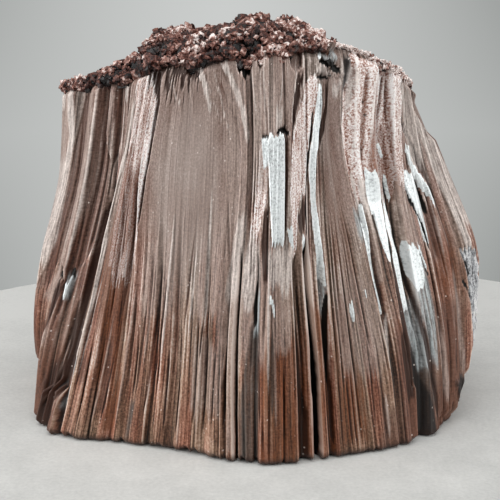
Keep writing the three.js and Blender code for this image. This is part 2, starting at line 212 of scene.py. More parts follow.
def ribbon_looks(across, share, ribbons):
    """Flat ribbons that run the height of the wall, side by side, and slowly change upwards.

    Gives how far each stands out, its tone and hue, and the light or dark lines between them.
    All but the first are from -1 to 1.
    """
    random = np.random.default_rng(ribbons.seed)
    widths = random.uniform(ribbons.narrow, ribbons.wide, int(DISTANCES[-1] / ribbons.narrow))
    ends = np.cumsum(widths)
    edges = np.column_stack([ends - widths + ribbons.step, ends]).ravel()
    joints = (ends[:, None] + [-LINE_HALF_WIDTH, 0, LINE_HALF_WIDTH]).ravel()
    levels = np.linspace(0, 1, ribbons.levels)
    shifted = across[None] / WOBBLE_WIDTH + ribbons.seed
    wobble = WOBBLE * grain(shifted, share[:, None] * WOBBLES_UP, ribbons.seed)

    def own_values(strength):
        return random.uniform(-strength, strength, (ribbons.levels, len(ends)))

    def over_wall(knots, values):
        rows = curve(levels, values, share)
        return np.array([np.interp(across + shift, knots, row) for shift, row in zip(wobble, rows)])

    depth, tone, hue = [
        over_wall(edges, own_values(strength).repeat(2, axis=1)) for strength in (ribbons.depth, 1, 1)
    ]
    strokes = own_values(1)
    strokes = (strokes * np.abs(strokes) ** LINE_FAINTNESS)[..., None] * [0, 1, 0]
    return depth, tone, hue, over_wall(joints, strokes.reshape(ribbons.levels, -1))


# ---- The fibres ---------------------------------------------------------
SIDE_JOIN = 15.4  # the place where the front's fibres and crust end and the back's start
Side = namedtuple("Side", "name start end step cap_centre")
SIDES = [
    Side("front_fibres", start=0, end=SIDE_JOIN, step=0.137, cap_centre=(-2, -4)),
    Side("back_fibres", start=SIDE_JOIN, end=COUNT, step=0.5, cap_centre=(-2, 12)),
]
ROW_RUNS = [(0, 0), (8, 0.03), (72, 0.78), (12, 0.84), (8, 0.92), (18, 1)]  # more rows, up to each share


def column_distances(side):
    start, end = distance_at([side.start, side.end])
    return np.linspace(start, end, round((end - start) / side.step) + 1)


def row_shares():
    counts, stops = zip(*ROW_RUNS)
    return np.interp(np.arange(sum(counts) + 1), np.cumsum(counts), stops)


Patch = namedtuple("Patch", "finish lift outline soft ragged", defaults=(0.15, 0.012))
STRETCH_RAGGED = 0.03
LINE_SOFT = 0.1
LINE_TAPER = 0.2  # the share of a line's length over which each end comes to a point


def line(finish, places, low, high, width=0.35, lift=0.12):
    """A thin streak or crack along a fibre, from its place at the low end to its place at the high end."""
    start, end = places if isinstance(places, tuple) else (places, places)
    half = width / 2 / (distance_at(math.floor(start) + 1) - distance_at(math.floor(start)))
    outline = []
    for up, full in ((0, 0), (LINE_TAPER, 1), (1 - LINE_TAPER, 1), (1, 0)):
        middle = start + (end - start) * up
        outline.append((low + (high - low) * up, middle - half * full, middle + half * full))
    return Patch(finish, lift, outline, LINE_SOFT)


def stretch(finish, soft, *outline):
    """A broad stretch of a finish, which changes the colour alone."""
    return Patch(finish, 0, outline, soft, STRETCH_RAGGED)


# Broken plates, streaks and hollows. An outline gives (share, left place, right place) from low to
# high, lift is how far the patch stands out, soft is the width of its edges, and ragged how uneven
# its ends are.
# The blackest patches are all sunk into the wall. They are painted shade in cracks and hollows and under
# ledges.
PATCHES = [
    # broad stretches of colour
    stretch("dark", 0.6, (0, 1.5, 4.8), (0.25, 1.5, 4.8), (0.5, 2.8, 4.8)),
    stretch("dark", 0.6, (0, 13.2, 14.8), (0.2, 13.3, 14.6), (0.38, 13.6, 14.5)),
    stretch("dark", 0.6, (0, -0.5, 4.7), (0.15, 0.5, 4.5), (0.3, 1.5, 3.6)),
    stretch("dark", 0.5, (0, 11.9, 14.2), (0.2, 12.1, 14), (0.33, 12.4, 13.9)),
    stretch("dark", 0.4, (0, 11.6, 12.6), (0.12, 11.8, 12.5)),
    stretch("dark", 0.4, (0, -0.5, 3.4), (0.12, 0, 3.4)),
    stretch("rust", 0.8, (0, 2.7, 4.7), (0.1, 2.8, 4.7), (0.25, 3.1, 4.6)),
    stretch("rust", 0.8, (0, 13.4, 14.6), (0.15, 13.6, 14.5), (0.3, 13.8, 14.4)),
    stretch("rust", 0.6, (0, 10.1, 11), (0.15, 10.1, 10.9), (0.4, 10.1, 10.6)),
    stretch("rust", 0.6, (0, 8.9, 10), (0.2, 8.95, 9.95), (0.33, 9, 9.9)),
    stretch("rust", 0.6, (0, -0.5, 2.8), (0.2, 0.5, 3), (0.3, 1.5, 2.8)),
    stretch("rust", 0.6, (0.66, 12.5, 13.4), (0.76, 12.6, 13.3), (0.85, 12.9, 13.2)),
    stretch("rust", 0.4, (0, 12.4, 13), (0.15, 12.45, 12.95), (0.3, 12.5, 12.9)),
    stretch("rust", 0.2, (0.4, 5.12, 5.3), (0.6, 5.15, 5.4), (0.8, 5.3, 5.5)),
    stretch("rust", 0.5, (0.3, 5.4, 5.9), (0.45, 5.3, 5.9), (0.6, 5.3, 5.95), (0.74, 5.45, 5.9)),
    stretch("rust", 1.2, (0.4, 14.3, 14.6), (0.65, 14.25, 14.5)),
    stretch("deep", 0.5, (0, 3.4, 4.5), (0.12, 3.2, 4.4), (0.2, 3.4, 4.3)),
    stretch("pale", 0.4, (0.12, 7.2, 7.75), (0.3, 7.2, 7.8)),
    stretch("pale", 0.4, (0.76, 14, 15), (0.88, 13.7, 15), (1, 13.5, 14.8)),
    stretch("pale", 0.3, (0.3, 9.2, 9.55), (0.43, 9.2, 9.6)),
    stretch("pale", 0.3, (0.38, 7.1, 8), (0.5, 7.3, 8), (0.62, 7.6, 8)),
    stretch("pale", 0.5, (0.38, 6.2, 6.8), (0.55, 6.2, 6.7)),
    stretch("pale", 0.8, (0.28, 7.7, 9.1), (0.4, 7.6, 9.3), (0.56, 7.7, 8.5)),
    stretch("pale", 0.8, (0.22, 11.15, 11.9), (0.36, 11.1, 11.95), (0.46, 11.1, 11.9)),
    stretch("pale", 0.6, (0.56, 7.6, 8.1), (0.75, 7.6, 8.2), (0.95, 7.6, 8.3)),
    stretch("pale", 0.6, (0.68, 8.2, 9.5), (0.97, 8.2, 9.6)),
    stretch("white", 0.3, (0.76, 13.95, 14.4), (0.86, 13.85, 14.5), (0.97, 13.7, 14.4)),
    stretch("white", 0.3, (0.44, 9.15, 9.6), (0.5, 9.1, 9.7), (0.545, 9.1, 9.7)),
    stretch("white", 0.3, (0.4, 8.2, 8.7), (0.47, 8.1, 8.9), (0.56, 8.3, 8.8)),
    stretch("slate", 0.4, (0.1, 12.9, 13.5), (0.3, 12.7, 13.4)),
    # the left flutes; their white and pale patches are partly painted highlight where the flutes face the
    # light
    Patch("pale", 0, [(0.66, 0.1, 1.4), (0.8, 0.05, 1.35), (1, 0.1, 1.15)], 0.3),
    Patch("white", 0, [(0.47, 0.7, 1.3), (0.55, 0.45, 1.5), (0.66, 0.15, 1.4), (0.78, 0.1, 1.25)], 0.4),
    Patch("white", 0.05, [(0.72, 0.9, 1.25), (0.85, 1.15, 1.43), (1, 0.72, 1.1)]),
    Patch("white", 0, [(0.93, 0.2, 0.55), (1, 0, 0.55)], 0.2),
    Patch("dark", -0.2, [(0.4, 0.95, 1.55), (0.5, 1.45, 1.9), (0.7, 1.35, 2), (0.84, 1.5, 2.15),
                         (0.96, 1.8, 2.3)]),
    Patch("pale", 0, [(0.36, 1.4, 2.65), (0.45, 1.9, 3.1), (0.67, 2, 3.2), (0.97, 2.35, 3)], 0.2),
    line("white", (3.1, 3.13), 0.45, 0.99, 0.4, 0.08),
    Patch("black", -0.9, [(0.44, 2.85, 3.15), (0.46, 2.8, 3.05), (0.475, 2.8, 2.9)], 0.12),
    Patch("deep", -0.3, [(0.27, 1.75, 2.9), (0.34, 2.4, 3.05), (0.43, 2.85, 3.2)], 0.2),
    Patch("steel", 0.1, [(0.38, 3.25, 3.4), (0.45, 3.2, 3.5)]),
    line("shine", (3.3, 3.27), 0.38, 0.44, 0.5),
    Patch("black", -0.4, [(0.445, 3.33, 3.46), (0.47, 3.25, 3.4)]),
    Patch("dark", -0.2, [(0.12, 3.15, 3.4), (0.3, 3.28, 3.39), (0.42, 3.4, 3.5)], 0.2),
    Patch("dark", -0.3, [(0.47, 3.3, 3.5), (0.55, 3.25, 3.9), (0.78, 3.15, 3.88), (0.84, 3.18, 3.5),
                         (0.98, 3.2, 3.57)]),
    Patch("pale", 0, [(0.84, 3.52, 3.65), (0.96, 3.62, 3.8)]),
    Patch("dark", -0.3, [(0.78, 3.94, 4.05), (0.89, 3.85, 4.3), (0.98, 3.8, 4.25)]),
    line("pale", (3.98, 4.27), 0.71, 0.89, 0.7),
    Patch("white", 0.1, [(0.93, 4.5, 4.58), (0.98, 4.27, 4.64)], 0.1),
    line("deep", 4.7, 0.89, 0.97, 0.5, -0.3),
    Patch("dark", -0.2, [(0.52, 4.5, 4.87), (0.6, 4.15, 4.8), (0.7, 4.1, 4.55), (0.8, 4.4, 4.6)]),
    line("pale", 4.02, 0.66, 0.76, 0.4),
    Patch("rust", 0, [(0.28, 4.6, 4.9), (0.5, 4.5, 4.87), (0.65, 4.05, 4.2)], 0.2),
    Patch("deep", -0.5, [(0, 3.6, 4.4), (0.18, 3.8, 4.55), (0.35, 3.85, 4.7), (0.45, 3.85, 4.9),
                         (0.55, 3.85, 4.85), (0.65, 3.9, 4.5)]),
    line("pale", (3.6, 3.85), 0.03, 0.3, 0.35, 0.1),
    line("deep", (3.85, 3.8), 0.2, 0.39, 0.4, -0.3),
    Patch("pale", 0, [(0.18, 2.2, 2.7), (0.22, 2, 2.9), (0.28, 2.4, 3.1)], 0.3),
    Patch("deep", -0.9, [(0.125, -0.5, 2.5), (0.15, -0.5, 2.7)], 0.2),
    # the bright arris, its white partly a painted highlight
    Patch("pale", 0, [(0.84, 4.95, 5.22), (0.94, 4.9, 5.24)], 0.12),
    Patch("white", 0.15, [(0.23, 4.92, 4.98), (0.4, 5.04, 5.11), (0.55, 5, 5.1), (0.7, 4.8, 4.98),
                          (0.85, 5.1, 5.24), (0.92, 5.1, 5.2)], 0.08),
    Patch("steel", 0.05, [(0.08, 4.76, 4.84), (0.24, 4.91, 4.99)], 0.1),
    line("white", (5.08, 5.2), 0.2, 0.5, 0.2, 0),
    line("pale", (5.02, 5.12), 0.2, 0.45, 0.35),
    # the rough band
    Patch("rough", 0.1, [(0.45, 5.45, 5.85), (0.52, 5.32, 5.99), (0.67, 5.2, 6.07), (0.87, 5.3, 6.19),
                         (0.94, 5.2, 6.08), (0.98, 5.09, 5.7)], 0.2, 0.03),
    Patch("deep", -0.35, [(0.6, 6, 6.04), (0.78, 6.13, 6.18), (0.9, 6.13, 6.21), (0.97, 5.8, 6.09)], 0.1),
    line("dark", (5.56, 5.4), 0.57, 0.72, 0.5, -0.15),
    Patch("dark", -0.15, [(0.34, 5.75, 5.81), (0.6, 5.87, 5.97), (0.7, 5.8, 5.88)], 0.12),
    Patch("rust", 0, [(0.18, 5.47, 5.85), (0.53, 5.35, 5.84)], 0.5),
    Patch("dark", -0.1, [(0.16, 5.15, 5.32), (0.24, 5.02, 5.3)], 0.3),
    Patch("dark", -0.2, [(0.09, 5.63, 5.75), (0.28, 5.62, 5.71)]),
    line("deep", (5.7, 5.77), 0.06, 0.25, 0.3, -0.2),
    Patch("rust", 0, [(0.03, 5.74, 5.95), (0.18, 5.8, 5.97), (0.32, 5.78, 5.86)], 0.2),
    line("pale", (5.54, 5.65), 0.03, 0.36),
    line("pale", (5.98, 6.08), 0.05, 0.45),
    # hollows, bulges and pale places, from the foot to the crust
    Patch("dark", -1.6, [(0.02, 14.4, 16.4), (0.14, 14.6, 16.2), (0.25, 15, 16)], 0.6, 0.03),
    Patch("dark", -1.2, [(0, 13.5, 15.4), (0.05, 13.7, 15.2)], 0.4, 0.02),
    Patch("dark", 2.2, [(0, 3.4, 4.8), (0.1, 3.5, 4.75)], 0.4, 0.05),
    Patch("deep", -0.2, [(0.12, 12.5, 12.8), (0.22, 12.45, 12.75), (0.3, 12.5, 12.75)], 0.2, 0.03),
    Patch("white", 0, [(0.42, 7.75, 8), (0.56, 7.85, 8.1), (0.62, 7.9, 8.1)], 0.3),
    Patch("pale", 0, [(0.84, 8.9, 9.9), (0.97, 8.9, 10)], 0.5),
    Patch("deep", -0.3, [(0.94, 6, 6.7), (0.965, 5.7, 7), (1, 5.4, 7.2)], 0.3, 0.05),
    # partly painted highlight along the lit right edge
    Patch("white", 0.1, [(0.5, 14.75, 14.95), (0.64, 14.65, 14.88), (0.82, 14.5, 14.72),
                         (0.9, 14.3, 14.5)], 0.15),
    Patch("pale", -1, [(0.85, 14.8, 16), (0.93, 14.5, 16.2), (0.96, 14.5, 16)], 0.4, 0),
    # the left panel
    # painted sheen: a pale veil over the upper left panel, where it catches the light
    Patch("haze", 0, [(0.45, 6.5, 7.4), (0.6, 6.35, 7.6), (0.75, 6.4, 7.5), (0.9, 6.6, 7.2)], 3.5, 0),
    line("dark", (6.25, 6.31), 0.13, 0.41, 0.5, -0.25),
    Patch("slate", 0, [(0.02, 6.15, 6.22), (0.13, 6.18, 6.27)], 0.2),
    line("pale", (6.33, 6.46), 0.22, 0.62),
    line("dark", (6.41, 6.52), 0.07, 0.49, 0.4, -0.25),
    line("dark", (6.53, 6.64), 0.19, 0.46, 0.4, -0.25),
    line("white", (6.62, 6.71), 0.24, 0.63, 0.4, 0.15),
    line("deep", (6.76, 6.75), 0.05, 0.28, 0.4, -0.25),
    line("pale", (6.86, 6.88), 0.38, 0.66),
    line("dark", (6.95, 6.94), 0.18, 0.33, 0.4, -0.25),
    line("deep", 6.95, 0.04, 0.21, 0.35, -0.35),
    line("pale", (7, 6.99), 0.01, 0.17),
    line("dark", (6.98, 7.09), 0.35, 0.57, 0.4, -0.2),
    line("white", (7.07, 7.16), 0.31, 0.56, 0.4),
    line("deep", (7.32, 7.35), 0.26, 0.37, 0.3, -0.3),
    line("pale", (7.33, 7.35), 0.05, 0.31),
    line("dark", (7.36, 7.35), 0.5, 0.65, 0.3, -0.15),
    line("white", (7.38, 7.37), 0.33, 0.69, 0.55, 0.12),
    line("dark", (7.42, 7.47), 0.07, 0.33, 0.5, -0.3),
    line("pale", (7.56, 7.6), 0.1, 0.31),
    line("deep", (7.6, 7.65), 0.08, 0.3, 0.3, -0.2),
    line("pale", (7.75, 7.86), 0.18, 0.35),
    line("deep", (7.8, 7.85), 0.09, 0.34, 0.4, -0.3),
    Patch("dark", -0.25, [(0.51, 7.76, 7.8), (0.59, 7.7, 7.76), (0.65, 7.67, 7.69)], 0.12),
    Patch("pale", 0, [(0.48, 7.86, 8), (0.56, 7.84, 7.89), (0.65, 7.81, 7.85)], 0.12),
    Patch("pale", 0, [(0.03, 7.86, 7.96), (0.2, 7.87, 8.02), (0.34, 7.87, 8.15),
                      (0.48, 7.86, 8.04)], 0.2),
    # the wavy fold beside the left panel, and the feathered arcs above it
    Patch("pale", 0, [(0.57, 8.07, 8.2), (0.66, 7.96, 8.07), (0.79, 7.98, 8.11)], 0.1),
    Patch("white", 0.1, [(0.79, 8, 8.13), (0.87, 7.89, 7.99), (0.94, 7.69, 7.79),
                         (0.98, 7.5, 7.66)], 0.1),
    Patch("dark", -0.1, [(0.69, 7.92, 7.94), (0.8, 7.85, 7.88), (0.86, 7.72, 7.81),
                         (0.94, 7.44, 7.49)], 0.12),
    Patch("dark", -0.1, [(0.88, 7.76, 7.81), (0.93, 7.65, 7.72), (0.96, 7.54, 7.7)]),
    Patch("white", 0.15, [(0.87, 7.28, 7.34), (0.95, 7.06, 7.18), (0.985, 6.88, 7)], 0.1),
    line("white", (7.72, 7.35), 0.8, 0.97, 0.15, 0.1),
    line("white", (7.55, 7.1), 0.84, 0.97, 0.12, 0.1),
    line("white", (8.5, 8.3), 0.84, 0.97, 0.2, 0.1),
    line("white", (8.95, 8.85), 0.84, 0.97, 0.2, 0.1),
    line("white", (6.72, 6.3), 0.88, 0.97, 0.15, 0.1),
    Patch("pale", 0.08, [(0.9, 7.44, 7.48), (0.94, 7.21, 7.25), (0.985, 7.19, 7.27)], 0.08),
    line("pale", (6.95, 6.75), 0.87, 0.97, 0.3),
    line("pale", (6.75, 6.4), 0.86, 0.96, 0.3),
    # the middle columns
    line("black", (7.98, 8.08), 0.01, 0.23, 0.3, -0.4),
    Patch("rough", 0, [(0.44, 8.1, 8.5), (0.47, 8.2, 8.7), (0.57, 8.3, 8.68), (0.65, 8.55, 9.03),
                       (0.79, 8.68, 9.05)], 0.12),
    Patch("white", 0, [(0.46, 8.2, 8.7), (0.58, 8.4, 8.6)], 0.2),
    Patch("dark", -0.15, [(0.6, 8.15, 8.24), (0.66, 8.1, 8.27), (0.75, 8.14, 8.29),
                          (0.9, 8.2, 8.35)], 0.1),
    Patch("deep", -0.2, [(0.46, 9.02, 9.12), (0.55, 8.91, 9.11), (0.63, 9, 9.1)], 0.1),
    Patch("rust", 0, [(0.31, 9, 9.13), (0.49, 8.96, 9.11)], 0.1),
    Patch("black", -0.9, [(0.36, 8.65, 8.8), (0.4, 8.63, 8.76), (0.46, 8.73, 8.76)], 0.08),
    Patch("steel", 0, [(0.33, 8.7, 8.93), (0.44, 8.76, 8.9)]),
    Patch("slate", 0, [(0, 8.13, 8.97), (0.17, 8.15, 8.98), (0.21, 8.3, 8.97), (0.36, 8.64, 8.94)], 0.3),
    line("deep", (9.01, 8.96), 0.09, 0.35, 0.3, -0.4),
    line("white", (9.16, 9.13), 0.18, 0.56, 0.35, 0.1),
    line("slate", 9.22, 0.13, 0.35, 0.6, -0.1),
    line("pale", (9.28, 9.26), 0.09, 0.39),
    Patch("shine", 0.1, [(0.38, 9.23, 9.27), (0.4, 9.2, 9.27), (0.43, 9.14, 9.17)], 0.1),
    line("pale", (9.67, 9.69), 0.03, 0.51),
    Patch("deep", -0.3, [(0, 9.7, 9.84), (0.13, 9.69, 9.84), (0.2, 9.67, 9.76), (0.34, 9.68, 9.72)]),
    Patch("rust", 0, [(0.19, 9.77, 9.89), (0.34, 9.73, 9.89)], 0.2),
    line("pale", 9.91, 0.08, 0.31, 0.7, 0),
    Patch("deep", -0.2, [(0.57, 9.88, 9.97), (0.61, 9.81, 10.06), (0.65, 9.98, 10.09)], 0.12),
    Patch("rough", 0.1, [(0.52, 9.65, 9.75), (0.64, 9.65, 9.84), (0.67, 9.61, 10.05), (0.78, 9.67, 10.37),
                         (0.89, 10.12, 10.8), (0.93, 10.36, 10.72)], 0.08),
    Patch("black", -1.6, [(0.02, 9.94, 10.15), (0.22, 9.9, 10.17), (0.41, 9.92, 10.13),
                          (0.56, 10.01, 10.09)], 0.1),
    Patch("black", -0.4, [(0.56, 10.05, 10.11), (0.65, 10.04, 10.1), (0.76, 10.28, 10.36),
                          (0.85, 10.52, 10.6)], 0.08),
    Patch("shine", 0, [(0.5, 9.96, 9.98), (0.53, 9.93, 10), (0.56, 9.91, 9.99)], 0.1),
    # the bright plate and the ledges above it
    Patch("shine", 0.1, [(0.73, 8.91, 9.05), (0.795, 8.75, 9.05)]),
    Patch("shine", 0.35, [(0.55, 9.19, 9.5), (0.65, 9.12, 9.47), (0.76, 9.05, 9.47),
                          (0.8, 9.05, 9.5)], 0.06),
    Patch("pale", 0, [(0.51, 9.29, 9.66), (0.56, 9.19, 9.6)], 0.2),
    Patch("shine", 0.1, [(0.54, 9.64, 9.72), (0.59, 9.55, 9.66)], 0.08),
    Patch("dark", -0.3, [(0.59, 9.51, 9.57), (0.79, 9.5, 9.6)], 0.06),
    Patch("black", -0.5, [(0.794, 8.78, 9.05), (0.801, 8.78, 9.1)], 0.08, 0.004),
    Patch("black", -0.6, [(0.8, 9.45, 9.62), (0.807, 9.22, 9.62), (0.815, 9.39, 9.55)], 0.08, 0.004),
    Patch("white", 0, [(0.815, 9.22, 9.4), (0.86, 9.25, 9.46)], 0.08),
    line("white", (9.69, 9.93), 0.83, 0.97, 0.35, 0.05),
    Patch("deep", -0.5, [(0.8, 9.69, 9.73), (0.85, 9.74, 9.87), (0.93, 9.89, 10.11)], 0.1),
    line("white", (9.34, 9.52), 0.86, 0.97, 0.35, 0.05),
    line("pale", (9.28, 9.11), 0.86, 0.97, 0.3, 0.05),
    Patch("dark", -0.15, [(0.81, 9.02, 9.06), (0.86, 8.95, 9.03), (0.92, 8.77, 8.9),
                          (0.96, 8.77, 8.88)], 0.1),
    # the bright strip
    Patch("shine", 0.3, [(0.45, 10.6, 10.97), (0.55, 10.47, 10.86), (0.65, 10.36, 10.63),
                         (0.72, 10.28, 10.72), (0.8, 10.52, 11.01), (0.87, 10.74, 11.05),
                         (0.91, 10.81, 11.02)], 0.06),
    Patch("steel", 0, [(0.37, 10.61, 10.75), (0.42, 10.62, 10.93), (0.46, 10.6, 11)], 0.1),
    Patch("black", -0.5, [(0.21, 10.7, 10.77), (0.3, 10.66, 10.87), (0.36, 10.68, 10.93),
                          (0.43, 10.95, 11.01)], 0.1),
    Patch("slate", 0, [(0.22, 10.79, 10.9), (0.35, 10.6, 10.93)]),
    Patch("deep", -0.2, [(0.05, 10.72, 10.85), (0.18, 10.74, 10.88), (0.29, 10.69, 10.76)], 0.12),
    Patch("deep", -0.3, [(0.77, 10.98, 11.04), (0.82, 11.03, 11.2), (0.86, 11.15, 11.4),
                         (0.91, 11.1, 11.35)], 0.12),
    # the right panel
    Patch("rust", 0, [(0.03, 11.03, 11.5), (0.2, 11.02, 11.5), (0.4, 11.03, 11.35)], 0.6),
    Patch("pale", 0, [(0.41, 11.38, 11.42), (0.56, 11.4, 11.45), (0.67, 11.5, 11.58)]),
    line("deep", 11.07, 0.03, 0.22, 0.3, -0.2),
    line("deep", (11.22, 11.21), 0.02, 0.21, 0.35, -0.2),
    line("dark", (11.51, 11.53), 0.42, 0.56, 0.4, -0.15),
    Patch("shine", 0.1, [(0.355, 11.45, 11.48), (0.373, 11.42, 11.52), (0.41, 11.49, 11.51)], 0.1),
    line("pale", (11.56, 11.6), 0.18, 0.35),
    line("dark", (11.6, 11.66), 0.06, 0.33, 0.35, -0.2),
    line("dark", (11.77, 11.8), 0.03, 0.3, 0.35, -0.2),
    line("shine", 11.8, 0.4, 0.42, 0.3),
    line("pale", 11.82, 0.03, 0.15, 0.5),
    # the white streak right of the right panel
    line("deep", 11.98, 0.28, 0.41, 0.3, -0.4),
    Patch("slate", 0, [(0.12, 11.95, 12.02), (0.24, 11.96, 12.06)]),
    Patch("white", 0.05, [(0.24, 11.97, 12), (0.3, 11.99, 12.09), (0.35, 12.08, 12.18)], 0.1),
    Patch("shine", 0.15, [(0.35, 11.98, 12.03), (0.42, 11.96, 12.02), (0.49, 11.97, 12.08),
                          (0.57, 12.01, 12.19), (0.63, 12.08, 12.2)], 0.08),
    Patch("steel", 0, [(0.54, 11.9, 12), (0.61, 11.92, 12.03)]),
    line("white", (12.05, 12.1), 0.61, 0.7, 0.4),
    line("white", (12.25, 12.26), 0.6, 0.7, 0.5, 0),
    line("white", (12.37, 12.38), 0.6, 0.7, 0.5, 0),
    Patch("pale", 0, [(0.44, 12.15, 12.3), (0.59, 12.25, 12.39)], 0.12),
    # the rough corner
    Patch("rough", 0.1, [(0.64, 12, 12.3), (0.7, 12, 13.5), (0.83, 11.96, 13.7), (0.93, 12.08, 13.75),
                         (1, 12.2, 13.6)], 0.15, 0.035),
    Patch("white", 0, [(0.86, 12.03, 12.15), (0.95, 12.15, 12.4)], 0.3),
    line("rust", (12.45, 12.6), 0.72, 0.96, 0.5, -0.15),
    line("rust", (12.8, 12.85), 0.7, 0.95, 0.4, -0.2),
    line("rust", (13.3, 13.2), 0.72, 0.97, 0.5, -0.25),
    line("white", (12.2, 12.35), 0.74, 0.9, 0.12, 0.15),
    line("white", (12.72, 12.78), 0.78, 0.97, 0.12, 0.2),
    line("white", (13.5, 13.35), 0.75, 0.97, 0.15, 0.2),
    line("dark", (13.06, 13.17), 0.83, 0.97, 0.5, -0.3),
    Patch("black", -0.3, [(0.87, 12.53, 12.64), (0.88, 12.47, 12.53)], 0.1, 0.004),
    Patch("black", -0.3, [(0.845, 12.59, 12.72), (0.851, 12.5, 12.59)], 0.1, 0.004),
    Patch("deep", -0.3, [(0.81, 13.95, 14.12), (0.88, 13.61, 13.76), (0.97, 13.5, 13.68)], 0.1),
    Patch("pale", 0, [(0.85, 13.94, 14.03), (0.92, 13.7, 13.92), (0.98, 13.73, 14)]),
    line("deep", (14.07, 14.1), 0.85, 0.98, 0.3, -0.2),
    # pale and white along the right edge: partly the fibres' own colour, partly painted highlight
    Patch("pale", 0, [(0.61, 14.77, 15.15), (0.75, 14.55, 15.15), (0.83, 14.3, 14.87),
                      (0.93, 14.06, 14.25), (0.98, 14.15, 14.49)], 0.2),
    Patch("white", 0.05, [(0.59, 14.87, 15.15), (0.76, 14.81, 15.15), (0.85, 14.68, 14.9),
                          (0.92, 14.25, 14.37)]),
    # the right flutes, from left to right
    Patch("shine", 0.12, [(0.6, 12.42, 12.75), (0.65, 12.36, 12.79), (0.71, 12.46, 12.81)], 0.08),
    Patch("shine", 0.1, [(0.5, 12.59, 12.71), (0.55, 12.51, 12.77), (0.61, 12.46, 12.78)], 0.1),
    Patch("rust", 0, [(0.03, 12.69, 12.93), (0.18, 12.45, 12.71), (0.35, 12.48, 12.68)]),
    Patch("deep", -0.6, [(0.16, 12.72, 12.89), (0.34, 12.63, 12.92), (0.51, 12.74, 12.98)], 0.1),
    Patch("black", -0.8, [(0.475, 12.7, 12.83), (0.57, 12.77, 12.92), (0.66, 12.81, 12.84)], 0.08),
    Patch("steel", 0, [(0.2, 13.15, 13.35), (0.3, 13.05, 13.33), (0.39, 12.99, 13.28)], 0.1),
    Patch("shine", 0.1, [(0.35, 13, 13.14), (0.5, 12.96, 13.17), (0.6, 12.91, 13.13),
                         (0.71, 12.95, 13.03)], 0.08),
    line("shine", (13.16, 13.07), 0.745, 0.8, 0.5),
    Patch("deep", -0.3, [(0.06, 13.48, 13.57), (0.2, 13.3, 13.41), (0.38, 13.24, 13.29),
                         (0.57, 13.12, 13.18)], 0.1),
    line("black", 13.14, 0.59, 0.69, 0.3, -0.4),
    line("shine", (13.19, 13.16), 0.65, 0.71, 0.5),
    Patch("pale", 0, [(0.5, 13.23, 13.7), (0.62, 13.28, 13.7), (0.69, 13.26, 13.49)], 0.25),
    Patch("steel", 0, [(0.2, 13.5, 13.6), (0.27, 13.4, 13.65), (0.35, 13.31, 13.71),
                       (0.49, 13.26, 13.68)], 0.3),
    Patch("shine", 0, [(0.42, 13.3, 13.5), (0.46, 13.24, 13.65), (0.51, 13.22, 13.65),
                       (0.54, 13.25, 13.5)], 0.2),
    line("shine", (13.73, 13.61), 0.47, 0.55, 0.5),
    line("black", (13.77, 13.62), 0.44, 0.52, 0.25, -0.2),
    Patch("coal", 0, [(0, 12.97, 13.48), (0.1, 12.9, 13.38), (0.2, 12.9, 13.15),
                      (0.25, 13.05, 13.13)], 0.3),
    Patch("shine", 0.15, [(0.54, 13.86, 13.96), (0.61, 13.8, 14.03), (0.68, 13.62, 14.04),
                          (0.73, 13.6, 13.94)], 0.1),
    Patch("black", -0.4, [(0.52, 13.89, 13.95), (0.6, 13.84, 13.89), (0.69, 13.53, 13.6)], 0.08),
    Patch("dark", -0.1, [(0.49, 14.02, 14.2), (0.64, 14.12, 14.28)], 0.2),
    Patch("black", -0.5, [(0.62, 14.07, 14.18), (0.69, 14.07, 14.13), (0.73, 13.97, 14)], 0.08),
    Patch("shine", 0.2, [(0.65, 14.3, 14.37), (0.7, 14.12, 14.3), (0.75, 13.88, 14.15),
                         (0.8, 13.75, 13.91)], 0.08),
    Patch("deep", -0.3, [(0.67, 14.34, 14.42), (0.74, 14.24, 14.37), (0.84, 13.87, 14.08)], 0.12),
    Patch("pale", 0, [(0.09, 13.85, 14.03), (0.21, 13.72, 13.91), (0.33, 13.72, 13.83)]),
    Patch("rust", 0, [(0.17, 13.95, 14.13), (0.35, 13.9, 14.25), (0.55, 14.06, 14.28)], 0.4),
    line("deep", (14.23, 14.27), 0.17, 0.29, 0.5, -0.2),
    line("pale", (14.4, 14.33), 0.52, 0.66, 0.3),
    Patch("pale", 0, [(0.16, 14.46, 14.59), (0.28, 14.39, 14.5), (0.46, 14.34, 14.4)], 0.2),
    # the right edge, its white line partly a painted highlight along the lit outline
    Patch("flaky", -0.5, [(0.15, 14.85, 15.2), (0.34, 14.72, 15.4), (0.44, 14.66, 15.3),
                          (0.52, 14.6, 15.1)]),
    line("white", (14.78, 14.93), 0.48, 0.55, 0.8),
    line("black", (14.76, 14.64), 0.43, 0.5, 0.3, -0.3),
    line("black", (14.77, 14.53), 0.36, 0.44, 0.3, -0.3),
    Patch("coal", 0.4, [(0.06, 14.44, 14.63), (0.1, 14.28, 14.74), (0.14, 14.16, 14.68)], 0.1),
    Patch("dark", -2.8, [(0, 14.4, 17), (0.06, 14.5, 16.8), (0.11, 14.8, 16.4)], 0.3, 0.01),
    # hollows, ledges and a broken block under the crust
    Patch("black", -1, [(0.94, 8, 8.25), (0.96, 7.88, 8.29), (1, 7.84, 8.1)], 0.12),
    Patch("dark", -1, [(0.953, 8.7, 8.76), (0.96, 8.62, 8.85), (1, 8.6, 8.9)], 0.2, 0),
    Patch("dark", -1, [(0.945, 9.86, 9.9), (0.955, 9.75, 10.05), (1, 9.7, 10.1)], 0.2, 0),
    Patch("deep", -0.8, [(0.955, 6.85, 6.95), (0.97, 6.7, 7.1), (1, 6.6, 7.2)], 0.3, 0),
    Patch("steel", 0.3, [(0.955, 11.05, 11.9), (0.98, 11, 11.86)], 0.1),
    Patch("shine", 0.3, [(0.97, 10.75, 11), (0.985, 10.78, 11)], 0.1),
